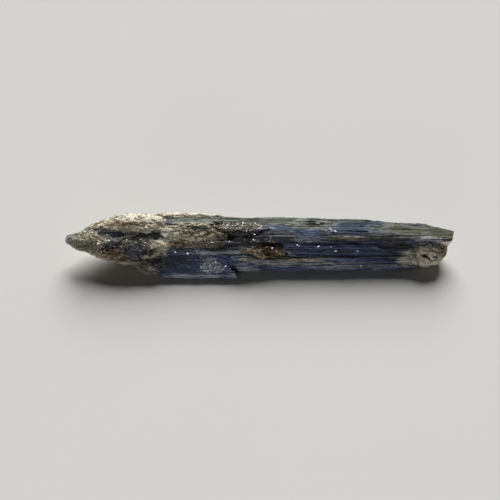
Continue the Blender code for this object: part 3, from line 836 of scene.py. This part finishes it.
# two smooth swells: (share of the lump's roughness, how much finer than its grain, seed)
SWELLS = [(0.8, 1.0, 61), (0.4, 2.2, 62)]
GRAIN_SEED = 71
GRAIN_TINTS = (0.5, 0.6, 0.5)  # how much the tones of the grains of each size differ
CRACK_DEPTHS = (0.7, 0.6, 0.4)  # how dark the cracks between them are
CRACK_WIDTH = 0.16
CRACK_DROP = 0.25
LUMP_BEHIND = (0.1, -0.3)  # how far the skin faces the front where its back, painted darker as shade, starts, and is full
ROCK_SHARP_FROM = math.radians(38)


def lump_shell(name, lump, step, grain_sizes, stain_marks, pits=()):
    """A closed rough shell.

    A sphere is stretched along X, squeezed and lifted towards its left pole, and turned about X.
    Smooth swells and a few sizes of grains then move its skin in or out; each grain has its own
    height and tilt, and the gaps between grains are kept as the mark "crack".
    """
    radii = np.array(lump["radii"])
    rings = int(math.pi * (radii[0] + radii[1:].mean()) / 2 / step)
    around = int(math.pi * (radii[1] + radii[2]) / step)
    ring = ((np.arange(rings) + 0.5) / rings * math.pi)[:, None]
    turn = np.arange(around) / around * 2 * math.pi
    unit = np.stack(np.broadcast_arrays(
        -np.cos(ring), np.sin(ring) * np.sin(turn), -np.sin(ring) * np.cos(turn)), axis=-1)
    unit = np.concatenate([unit.reshape(-1, 3), [(-1, 0, 0), (1, 0, 0)]])
    leftness = np.maximum(0, -unit[:, 0])
    stretched = unit * radii
    stretched[:, 1:] *= (1 - lump.get("taper", 0) * leftness)[:, None]
    stretched[:, 2] += lump.get("lift", 0) * leftness
    rolled = turned({"roll": lump.get("roll", 0)})
    points = stretched @ rolled + lump["centre"]
    facing = unit / radii
    facing = facing / np.linalg.norm(facing, axis=1)[:, None] @ rolled
    size = lump.get("grain", 2.6)
    uneven = sum(share * swell(points, size / finer, seed) for share, finer, seed in SWELLS)
    height = lump.get("grown", 0.0) - SHRUNK + lump["rough"] * uneven
    tone = np.zeros(len(points))
    crack = np.zeros(len(points))
    for number, (grain_size, rise, tilt) in enumerate(grain_sizes):
        drawn, away, gap = grains(points, grain_size, GRAIN_SEED + number)
        height += (drawn[:, 0] - 0.5) * rise + ((drawn - 0.5) * away).sum(axis=1) * tilt
        edge = ramp(CRACK_WIDTH, 0.0, gap)
        height -= edge * rise * CRACK_DROP
        crack = np.maximum(crack, edge * CRACK_DEPTHS[number])
        tone += (drawn[:, 1] - 0.5) * GRAIN_TINTS[number]
    points = points + facing * height[:, None]
    points = sunk_in(points, pits, OUT_OF_THE_FRONT)
    marks = stains(points, facing, *stain_marks)
    marks |= {"tone": tone + 0.5, "crack": crack,
              "shaded_side": ramp(*LUMP_BEHIND, facing @ OUT_OF_THE_FRONT)}
    points[:, 2] = np.maximum(points[:, 2], 0)
    shell = mesh_piece(name, points, skin_faces(rings, around), marks)
    shell.data.set_sharp_from_angle(angle=ROCK_SHARP_FROM)
    return shell


# Fine dark specks, as of mixed minerals: Size is how far apart they are in mm.
specks, given, result = new_group(
    "specks",
    [("Place", "NodeSocketVector", None), ("Size", "NodeSocketFloat", 0.4),
     ("Amount", "NodeSocketFloat", 0.3)],
    [("Dark", "NodeSocketFloat")],
)
per_size = maths(specks, "DIVIDE", 1 / MM, given["Size"])
cells = add(specks, "ShaderNodeTexVoronoi", {"Vector": given["Place"], "Scale": per_size})
drawn = add(specks, "ShaderNodeSeparateColor", {0: cells.outputs["Color"]}).outputs[0]
specks.links.new(maths(specks, "LESS_THAN", drawn, given["Amount"]), result["Dark"])

CRUST_TINTS = ((0.68, 0.585, 0.38), (1.0, 0.97, 0.75))
CRUST_STAIN_COLOURS = {
    "green": ((0.12, 0.12, 0.07), (0.52, 0.50, 0.34)),
    "grey": ((0.045, 0.047, 0.045), (0.27, 0.275, 0.25)),
    "bronze": ((0.11, 0.085, 0.04), (1.0, 0.90, 0.60)),
    "umber": ((0.009, 0.008, 0.006), (0.38, 0.335, 0.26)),
    "rust": ((0.035, 0.018, 0.009), (0.72, 0.50, 0.30)),
    "blue": ((0.006, 0.008, 0.014), (0.19, 0.21, 0.27)),
    "cream": ((0.90, 0.82, 0.58), (1.0, 0.98, 0.81)),
    # near-black rock, and painted shade
    "coal_and_shade": ((0.009, 0.009, 0.010), (0.12, 0.12, 0.13)),
}
CRUST_SPECKS = (0.34, 0.09, (0.30, 0.22, 0.15))  # size, share and colour
ROCK_BREAK_UP = 1.2
ROCK_SOFTNESS = 0.15
ROCK_BACK_SHADE = (0.52, 0.50, 0.47)  # the hidden sides are painted darker by this, as shade


def rock_material(name, tints, stain_colours, speck_size, speck_amount, speck_colour):
    """Grainy rock: each grain has its own tint, with dark cracks, specks and stains over them, and its
    hidden back painted darker as shade.
    """
    material, tree, shader = new_material(name)
    place = object_place(tree)
    fine = cloudy(tree, place, 2600.0, 4.0)
    broad = cloudy(tree, place, 420.0, 4.0)
    tone = maths(tree, "MULTIPLY_ADD", fine, 0.8, maths(tree, "SUBTRACT", mark_value(tree, "tone"), 0.4))
    tone = ranged(tree, tone, 0.2, 0.8)
    colour = mixed(tree, tone, *tints)
    noise = maths(tree, "ADD", maths(tree, "MULTIPLY", broad, 0.6), maths(tree, "MULTIPLY", tone, 0.4))
    for stain, (dark_tint, light_tint) in stain_colours.items():
        mask = placed(tree, stain_edge, {"Strength": mark_value(tree, stain), "Noise": noise,
                                         "Break up": ROCK_BREAK_UP, "Softness": ROCK_SOFTNESS})
        colour = mixed(tree, mask, colour, mixed(tree, tone, dark_tint, light_tint))
    fleck = ranged(tree, streaked(tree, place, 1.1, 0.5, 4.0), 0.36, 0.14, "SMOOTHSTEP")
    speck = placed(tree, specks, {"Place": place, "Size": speck_size, "Amount": speck_amount})
    for darkened, amount in ((fleck, 0.8), (speck, 0.75), (mark_value(tree, "crack"), 0.7)):
        amount = maths(tree, "MULTIPLY", darkened, amount)
        colour = mixed(tree, amount, colour, mixed(tree, 1.0, colour, speck_colour, "MULTIPLY"))
    # painted shade on the back and underside
    back_shaded = mixed(tree, 1.0, colour, ROCK_BACK_SHADE, "MULTIPLY")
    colour = mixed(tree, mark_value(tree, "shaded_side"), colour, back_shaded)
    tree.links.new(colour, shader.inputs["Base Color"])
    tree.links.new(maths(tree, "MULTIPLY_ADD", fine, 0.4, 0.4), shader.inputs["Roughness"])
    bump = add(tree, "ShaderNodeBump", {"Strength": 0.5, "Distance": 0.1 * MM, "Height": fine})
    tree.links.new(bump.outputs[0], shader.inputs["Normal"])
    return material


crust = rock_material("mica schist", CRUST_TINTS, CRUST_STAIN_COLOURS, *CRUST_SPECKS)
crust_shells = []
for name, lump in CRUST_LUMPS.items():
    shell = lump_shell(name, lump, CRUST_STEP, CRUST_GRAINS, (CRUST_PATCHES, CRUST_HIDDEN))
    shell.data.materials.append(crust)
    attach(shell, "root")
    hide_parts("mica_crust")
    crust_shells.append(shell)


# ---- Splintered stub ----------------------------------------------------------------------------
# A stub of a broken blade stands in the step between the two front blades. It is kyanite too, grown
# together with both, and splintered into narrow ridges along its length.

STUB_LUMP = dict(centre=(-5.2, -4.9, 3.1), radii=(6.4, 1.4, 3.1), rough=0.15, grain=1.2)
STUB_STEP = 0.13
STUB_RIDGES = [((4.5, 0.5, 0.5), 0.34, 0.1), ((2.0, 0.24, 0.24), 0.16, 0.05)]
stub = lump_shell("splintered_stub", STUB_LUMP, STUB_STEP, STUB_RIDGES, (PATCHES, HIDDEN_SIDE))
stub.data.materials.append(kyanite)
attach(stub, "root")
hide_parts("kyanite_blades")


# ---- Rusty pocket -------------------------------------------------------------------------------
# A pocket of decayed iron-stained mica in the middle of the front, sunk between the blades, nearly
# black inside and orange along its lower right rim.

POCKET_LUMP = dict(centre=(1.0, -2.1, 5.4), radii=(6.0, 2.7, 2.4), roll=30, rough=0.45, grain=1.6)
POCKET_HOLLOW = ((2.9, -4.9, 7.2), (2.7, 1.9, 1.7))  # centre and radii
POCKET_PATCHES = {
    "orange": [
        (5.9, 1.3, 1.7, 2.7, 0.9), (3.6, -0.7, 3.1, 1.3, 0.8), (2.7, 2.3, 1.1, 0.9, 0.4),
    ],
    "black": [
        (2.7, 2.9, 2.3, 2.0, 0.8), (-2.7, 4.0, 3.1, 0.9, 0.6),
    ],
    "grey": [
        (-3.3, 1.3, 3.7, 2.7, 0.75),
    ],
}
POCKET_HIDDEN = {"orange": 0.3, "black": 0.3, "grey": 0.3}
POCKET_STEP = 0.12
POCKET_TINTS = ((0.07, 0.035, 0.018), (0.70, 0.46, 0.28))
POCKET_STAIN_COLOURS = {
    "grey": ((0.04, 0.032, 0.021), (0.74, 0.61, 0.40)),
    "orange": ((0.20, 0.13, 0.045), (1.0, 0.70, 0.34)),
    "black": ((0.012, 0.009, 0.007), (0.34, 0.18, 0.10)),
}
POCKET_SPECKS = (0.3, 0.25, (0.15, 0.11, 0.09))
pocket_rock = rock_material("rusty mica", POCKET_TINTS, POCKET_STAIN_COLOURS, *POCKET_SPECKS)
pocket = lump_shell("rusty_pocket", POCKET_LUMP, POCKET_STEP, CRUST_GRAINS,
                    (POCKET_PATCHES, POCKET_HIDDEN), [POCKET_HOLLOW])
pocket.data.materials.append(pocket_rock)
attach(pocket, "root")
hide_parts("rusty_mica")


# ---- Feldspar end -------------------------------------------------------------------------------
# A knob of cream feldspar that closes the broken right end: coarse blocky grains with a few pits
# where mica has fallen out, painted dark inside as shade.

KNOB_LUMP = dict(centre=(47.4, -1.2, 3.7), radii=(6.1, 4.8, 3.8), taper=-0.1, rough=0.6, grain=3.6,
                 grown=0.15)
# (centre, radii) of each pit
KNOB_PITS = [((46.1, -4.8, 6.3), (0.9, 0.6, 0.55)), ((46.9, -4.9, 6.0), (0.6, 0.5, 0.6)),
             ((47.9, -5.4, 5.5), (0.7, 0.5, 0.3)), ((48.6, -5.4, 5.1), (0.45, 0.4, 0.3)),
             ((49.9, -4.8, 5.8), (1.0, 0.4, 0.3)), ((44.6, -4.9, 5.3), (0.4, 0.4, 0.7))]
KNOB_GRAINS = [((3.0, 2.2, 2.2), 0.7, 0.8), ((1.1, 0.8, 0.8), 0.2, 0.2),
               ((0.45, 0.35, 0.35), 0.08, 0.08)]
KNOB_PATCHES = {
    "brown": [
        (52.4, 1.6, 1.7, 2.1, 0.75), (48.6, -3.0, 4.4, 1.3, 0.4), (45.1, 0.4, 1.6, 2.4, 0.3),
        (46.9, 1.1, 2.1, 0.9, 0.3),
    ],
    "grey": [
        (48.1, 4.1, 4.9, 1.3, 1.2), (43.1, 0.3, 1.6, 3.4, 0.7),
    ],
    # painted shade inside the pits
    "pit_shade": [
        (46.2, 0.4, 0.8, 0.7, 0.75), (47.0, 0.0, 0.6, 0.6, 0.5), (47.8, -0.5, 0.4, 0.4, 0.6),
        (48.4, -1.0, 0.4, 0.3, 0.5), (49.7, 0.0, 1.0, 0.3, 0.7), (44.6, -1.4, 0.4, 0.6, 0.45),
        (51.7, 2.3, 0.6, 0.6, 0.5),
    ],
}
KNOB_HIDDEN = {"brown": 0.5, "grey": 0.6, "pit_shade": 0.0}
KNOB_STEP = 0.15
KNOB_TINTS = ((0.88, 0.78, 0.60), (1.0, 0.98, 0.85))
KNOB_STAIN_COLOURS = {
    "grey": ((0.22, 0.22, 0.20), (0.90, 0.88, 0.78)),
    "brown": ((0.16, 0.10, 0.06), (0.62, 0.48, 0.34)),
    "pit_shade": ((0.01, 0.009, 0.008), (0.06, 0.055, 0.05)),
}
KNOB_SPECKS = (0.4, 0.05, (0.30, 0.24, 0.18))
knob_rock = rock_material("cream feldspar", KNOB_TINTS, KNOB_STAIN_COLOURS, *KNOB_SPECKS)
knob = lump_shell("feldspar_knob", KNOB_LUMP, KNOB_STEP, KNOB_GRAINS, (KNOB_PATCHES, KNOB_HIDDEN),
                  KNOB_PITS)
knob.data.materials.append(knob_rock)
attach(knob, "root")
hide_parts("feldspar_end")


# ---- Mica flakes --------------------------------------------------------------------------------
# Small six-sided sheets of mica, silver to bronze, stuck at all angles in the crust, in the rusty
# pocket and in the dirt between the blades. They are what glitters.

OFF_THE_TABLE = 0.4  # nothing is stuck on lower than this
IN_A_BLADE = 0.15  # a point this deep in a blade is buried in it
IN_A_LUMP = 0.9  # and so is one within this share of a lump's size
PLATE_SIDES = 6


def surface_of(pieces):
    """Every vertex of the pieces in mm, and the way that the skin faces there, but for buried ones."""
    points, facing = [], []
    for piece in pieces:
        mesh = piece.data
        fields = ((mesh.vertices, "co", points), (mesh.vertex_normals, "vector", facing))
        for source, field, into in fields:
            values = np.empty(len(mesh.vertices) * 3, np.float32)
            source.foreach_get(field, values)
            into.append(values.reshape(-1, 3).astype(float))
    points, facing = np.concatenate(points) / MM, np.concatenate(facing)
    buried = points[:, 2] < OFF_THE_TABLE
    for blade in BLADES.values():
        normals, reach = lath(blade)
        buried |= (points @ normals.T - reach < -IN_A_BLADE).all(axis=1)
    for lump in (*CRUST_LUMPS.values(), KNOB_LUMP, POCKET_LUMP):
        place = (points - lump["centre"]) @ turned({"roll": lump.get("roll", 0)}).T / lump["radii"]
        leftness = np.clip(-place[:, 0], 0, 1)
        place[:, 2] -= lump.get("lift", 0) * leftness / lump["radii"][2]
        place[:, 1:] /= (1 - lump.get("taper", 0) * leftness)[:, None]
        buried |= np.linalg.norm(place, axis=1) < IN_A_LUMP
    return points[~buried], facing[~buried]


def plates(name, centres, facing, along, length, width, thickness, marks):
    """Thin flat six-sided plates in one mesh.

    A corner lies at the plate's centre, plus half the length times the cosine of its turn along
    the plate, plus half the width times the sine across it, and half the thickness up or down.
    """
    facing = facing / np.linalg.norm(facing, axis=1)[:, None]
    along = along - facing * (along * facing).sum(axis=1)[:, None]
    along /= np.linalg.norm(along, axis=1)[:, None]
    across = np.cross(facing, along)
    turn = ((np.arange(PLATE_SIDES) + 0.5) / PLATE_SIDES * 2 * math.pi)[None, :, None]
    rim = centres[:, None] + along[:, None] * np.cos(turn) * (length / 2)[:, None, None]
    rim = rim + across[:, None] * np.sin(turn) * (width / 2)[:, None, None]
    lift = facing[:, None] * (thickness / 2)[:, None, None]
    points = np.concatenate([rim + lift, rim - lift], axis=1).reshape(-1, 3)
    first = np.arange(len(centres))[:, None] * 2 * PLATE_SIDES
    spot = np.arange(PLATE_SIDES)
    after = (spot + 1) % PLATE_SIDES
    lids = np.concatenate([first + spot, first + PLATE_SIDES + spot[::-1]])
    sides = np.stack([spot, spot + PLATE_SIDES, after + PLATE_SIDES, after], axis=1)
    sides = (first[:, None] + sides[None]).reshape(-1, 4)
    points[:, 2] = np.maximum(points[:, 2], 0)
    marks = {mark: np.repeat(values, 2 * PLATE_SIDES) for mark, values in marks.items()}
    piece = mesh_piece(name, points, lids.tolist() + sides.tolist(), marks)
    piece.data.shade_flat()
    return piece


def strewn(pool, strength, count, rng):
    """Picks that many points and facings from a pool, more of them where the strength is higher."""
    points, facing = pool
    picked = rng.choice(len(points), size=count, p=strength / strength.sum())
    return points[picked], facing[picked]


MICA_TINTS = ((0.08, 0.05, 0.025), (1.0, 0.92, 0.74))
MICA_RUST = (0.22, 0.09, 0.03)
MICA_SILVER = (0.5, 0.54, 0.6)
MICA_IOR = 1.6
MICA_SPECULAR = 0.8

mica, tree, shader = new_material("mica flakes")
fine = cloudy(tree, object_place(tree), 3000.0, 2.0)
silver = mark_value(tree, "white")
shade = maths(tree, "SUBTRACT", mark_value(tree, "tone"), 0.2)
shade = maths(tree, "MULTIPLY_ADD", fine, 0.4, shade, clamp=True)
colour = mixed(tree, shade, *MICA_TINTS)
colour = mixed(tree, mark_value(tree, "rust"), colour, MICA_RUST)
colour = mixed(tree, silver, colour, MICA_SILVER)
tree.links.new(colour, shader.inputs["Base Color"])
roughness = maths(tree, "MULTIPLY_ADD", silver, -0.12, maths(tree, "MULTIPLY_ADD", fine, 0.3, 0.1))
tree.links.new(roughness, shader.inputs["Roughness"])
shader.inputs["IOR"].default_value = MICA_IOR
shader.inputs["Specular IOR Level"].default_value = MICA_SPECULAR

FLAKE_SEED = 12
FLAKE_THICKNESS = 0.05
flake_rng = np.random.default_rng(FLAKE_SEED)
crust_pool = surface_of(crust_shells)
blade_pool = surface_of(skins)
pocket_pool = surface_of([pocket, knob])
grime = stains(*blade_pool, PATCHES, HIDDEN_SIDE)["grime"] ** 2 + 1e-4
# name: (pool, strength, count, smallest and largest width in mm, tilt, how bright they are)
FLAKES = {
    "crust_flakes": (crust_pool, np.ones(len(crust_pool[0])), 5200, (0.2, 0.62), 0.55, 1.0),
    "crevice_flakes": (blade_pool, grime, 2600, (0.18, 0.6), 0.8, 0.75),
    "pocket_flakes": (pocket_pool, np.ones(len(pocket_pool[0])), 700, (0.18, 0.6), 0.8, 1.0),
}
for name, (pool, strength, count, (small, large), tilt, brightness) in FLAKES.items():
    centres, facing = strewn(pool, strength, count, flake_rng)
    facing = facing + flake_rng.normal(0, tilt / 2, (count, 3))
    wide = small + (large - small) * flake_rng.random(count) ** 2
    rusty = stains(centres, facing, PATCHES, HIDDEN_SIDE)["rust"] * flake_rng.random(count)
    under = stains(centres, facing, CRUST_PATCHES, CRUST_HIDDEN)
    dark_rock_and_shade = np.maximum(np.maximum(under["umber"], under["blue"]), shade_side(facing) * 0.6)
    dark_rock_and_shade = np.clip(dark_rock_and_shade, 0, 1)  # flakes are dull where the rock is dark, and painted darker as shade where they face up or back
    bright = flake_rng.random(count) ** 0.6 * (1 - 0.6 * dark_rock_and_shade) * brightness
    flakes = plates(name, centres, facing, flake_rng.normal(0, 1, (count, 3)), wide,
                    wide * flake_rng.uniform(0.7, 1, count), np.full(count, FLAKE_THICKNESS),
                    {"tone": bright, "rust": rusty})
    flakes.data.materials.append(mica)
    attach(flakes, "root")


# ---- Loose splinters ----------------------------------------------------------------------------
# Slivers of kyanite still lying on the blades that they cleaved from, and the white chips of the
# crushed places, propped up by one another. They are stained like the stone under them.

SLIVER_SINK = 0.04
SLIVER_FLATNESS = 0.35  # share of its width that a sliver is thick
CHIP_WHITENESS = 1.2
TIP_EDGE = (51.0, 48.0)  # places along X between which they run out at the thin right tip
END_FACING = 0.25  # and none lie where a blade faces along X by more than this
# name: (stain that they lie on, count, lengths, widths, tilt, how far they are propped up)
SLIVERS = {
    "slivers": (None, 3600, (0.8, 5.0), (0.12, 0.34), 0.035, 0.0),
    "white_chips": ("white", 1900, (0.3, 1.6), (0.1, 0.32), 0.5, 2.4),
}
for name, (mark, count, (short, long), (thin, wide), tilt, propped) in SLIVERS.items():
    strength = ramp(*TIP_EDGE, blade_pool[0][:, 0]) * (np.abs(blade_pool[1][:, 0]) < END_FACING)
    if mark:
        strength = stains(*blade_pool, PATCHES, HIDDEN_SIDE)[mark] ** 2
    centres, facing = strewn(blade_pool, strength, count, flake_rng)
    facing = facing + flake_rng.normal(0, tilt, (count, 3)) + (0, 0, propped)
    heading = np.array((1.0, 0, 0)) + flake_rng.normal(0, tilt, (count, 3)) * (0.3, 1, 1)
    length = short + (long - short) * flake_rng.random(count) ** 2
    width = flake_rng.uniform(thin, wide, count)
    marks = stains(centres, facing, PATCHES, HIDDEN_SIDE)
    if mark:
        marks[mark] = np.full(count, CHIP_WHITENESS)
    centres = centres - facing * SLIVER_SINK
    marks |= {"tone": flake_rng.random(count), "sunk": np.full(count, 0.5),
              "shaded_side": shade_side(facing) * (mark is None)}
    chips = plates(name, centres, facing, heading, length, width, width * SLIVER_FLATNESS, marks)
    chips.data.materials.append(kyanite)
    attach(chips, "root")


# ---- Glints -------------------------------------------------------------------------------------
# A few fresh silvery sheets of mica flash. Those on top lie level, in the light of the window, and
# those lower down lean forward, to the card. Each is a thin plate on the face under it.

# (place along X, height up the front, size of the flash) in mm
GLINTS = [
    (10.4, 4.0, 0.9), (11.0, 3.1, 0.5), (16.4, 3.0, 1), (20.1, 2.9, 0.7), (21.3, 1.7, 1.1),
    (27.6, 1.7, 0.9), (3.3, 2.9, 1), (4.4, 2.0, 0.5), (-13.3, 6.6, 1.3), (21.3, 7.4, 1.1),
    (19.9, 8.0, 0.8), (-2.1, 6.3, 0.9), (-4.1, 7.4, 0.6), (-5.9, 8.3, 0.5), (-16.7, -3.1, 0.8),
    (-14.4, -2.3, 0.6), (-12.7, -1.4, 0.7), (-15.0, -4.0, 1), (-9.9, -2.6, 0.8), (-27.3, 6.0, 0.7),
    (28.7, -2.6, 0.5), (22.1, -2.6, 0.4), (35.6, -2.7, 0.5), (45.6, 4.9, 0.6), (-20.7, 1.1, 1),
    (-24.1, 1.4, 0.9), (-16.1, 1.4, 0.7),
]
NEARER_FIRST = 0.05  # of two points in the same place, the one further out at the front is taken
GLINT_LIFT = 0.18
GLINT_LENGTH = 0.65  # share of the flash's size
GLINT_WIDTH, GLINT_WIDENS = 0.15, 0.15  # the least width, and the share of the size added to it
GLINT_THICKNESS = 0.08
ON_TOP_FROM = 7.0
LEVEL, LEANING = (0.05, 0.1, 1.0), (-0.14, -0.87, 0.48)
GLINT_JITTER = 0.025

pools = (blade_pool, crust_pool, pocket_pool)
faces_out = np.concatenate([pool[1] for pool in pools]) @ OUT_OF_THE_FRONT > 0.3
front_points = np.concatenate([pool[0] for pool in pools])[faces_out]
seen = np.stack([front_points[:, 0], front_points @ UP_THE_FRONT], axis=1)
places, long = np.array(GLINTS)[:, :2], np.array(GLINTS)[:, 2]
away = np.linalg.norm(seen[None] - places[:, None], axis=2)
nearest = (away - NEARER_FIRST * (front_points @ OUT_OF_THE_FRONT)).argmin(axis=1)
count = len(GLINTS)
centres = front_points[nearest] + OUT_OF_THE_FRONT * GLINT_LIFT
facing = np.where(places[:, 1:] > ON_TOP_FROM, LEVEL, LEANING)
facing = facing + flake_rng.normal(0, GLINT_JITTER, (count, 3))
heading = np.array((1.0, 0, 0)) + flake_rng.normal(0, 0.3, (count, 3))
marks = {"white": np.ones(count), "tone": np.ones(count)}
glints = plates("glints", centres, facing, heading, long * GLINT_LENGTH,
                GLINT_WIDTH + long * GLINT_WIDENS, np.full(count, GLINT_THICKNESS), marks)
glints.data.materials.append(mica)
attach(glints, "root")


# ---- Table and light ----------------------------------------------------------------------------
# A plain pale table top. A wide soft window stands low behind the bar, a little to the right. A
# weak white card stands low in front, and the room gives back very little.

TABLE_REACH = 1.5
TABLE_DROP = 0.02 * MM  # it lies this far under the resting face, so that the two don't flicker
TABLE_TINTS = ((0.735, 0.725, 0.69), (0.76, 0.75, 0.72))
TABLE_ROUGHNESS = 0.9
ROOM_TINT = (0.9, 0.95, 1.0, 1.0)
ROOM_STRENGTH = 0.014

table_mesh = bpy.data.meshes.new("table")
corners = [(x * TABLE_REACH, y * TABLE_REACH, 0) for x, y in ((-1, -1), (1, -1), (1, 1), (-1, 1))]
table_mesh.from_pydata(corners, [], [(0, 1, 2, 3)])
table = bpy.data.objects.new("table", table_mesh)
bpy.context.scene.collection.objects.link(table)
table.location.z = -TABLE_DROP
table_top, tree, shader = new_material("table top")
clouds = cloudy(tree, object_place(tree), 12.0, 2.0)
tree.links.new(mixed(tree, clouds, *TABLE_TINTS), shader.inputs["Base Color"])
shader.inputs["Roughness"].default_value = TABLE_ROUGHNESS
table_mesh.materials.append(table_top)

# name: (height angle, degrees to the right of straight behind, spread, strength)
SUNS = {"window": (33.5, 5.0, 42.0, 4.7), "card": (7.0, 195.0, 12.0, 0.385)}
for name, (height, right, spread, strength) in SUNS.items():
    sun = bpy.data.lights.new(name, "SUN")
    sun.angle = math.radians(spread)
    sun.energy = strength
    holder = bpy.data.objects.new(name, sun)
    bpy.context.scene.collection.objects.link(holder)
    up, turn = math.radians(height), math.radians(right)
    towards = Vector((math.sin(turn) * math.cos(up), math.cos(turn) * math.cos(up), math.sin(up)))
    holder.rotation_euler = towards.to_track_quat("Z", "Y").to_euler()
world = bpy.data.worlds.new("room")
world.use_nodes = True
sky = world.node_tree.nodes["Background"].inputs
sky["Color"].default_value = ROOM_TINT
sky["Strength"].default_value = ROOM_STRENGTH
bpy.context.scene.world = world
bpy.context.scene.view_settings.view_transform = "Standard"
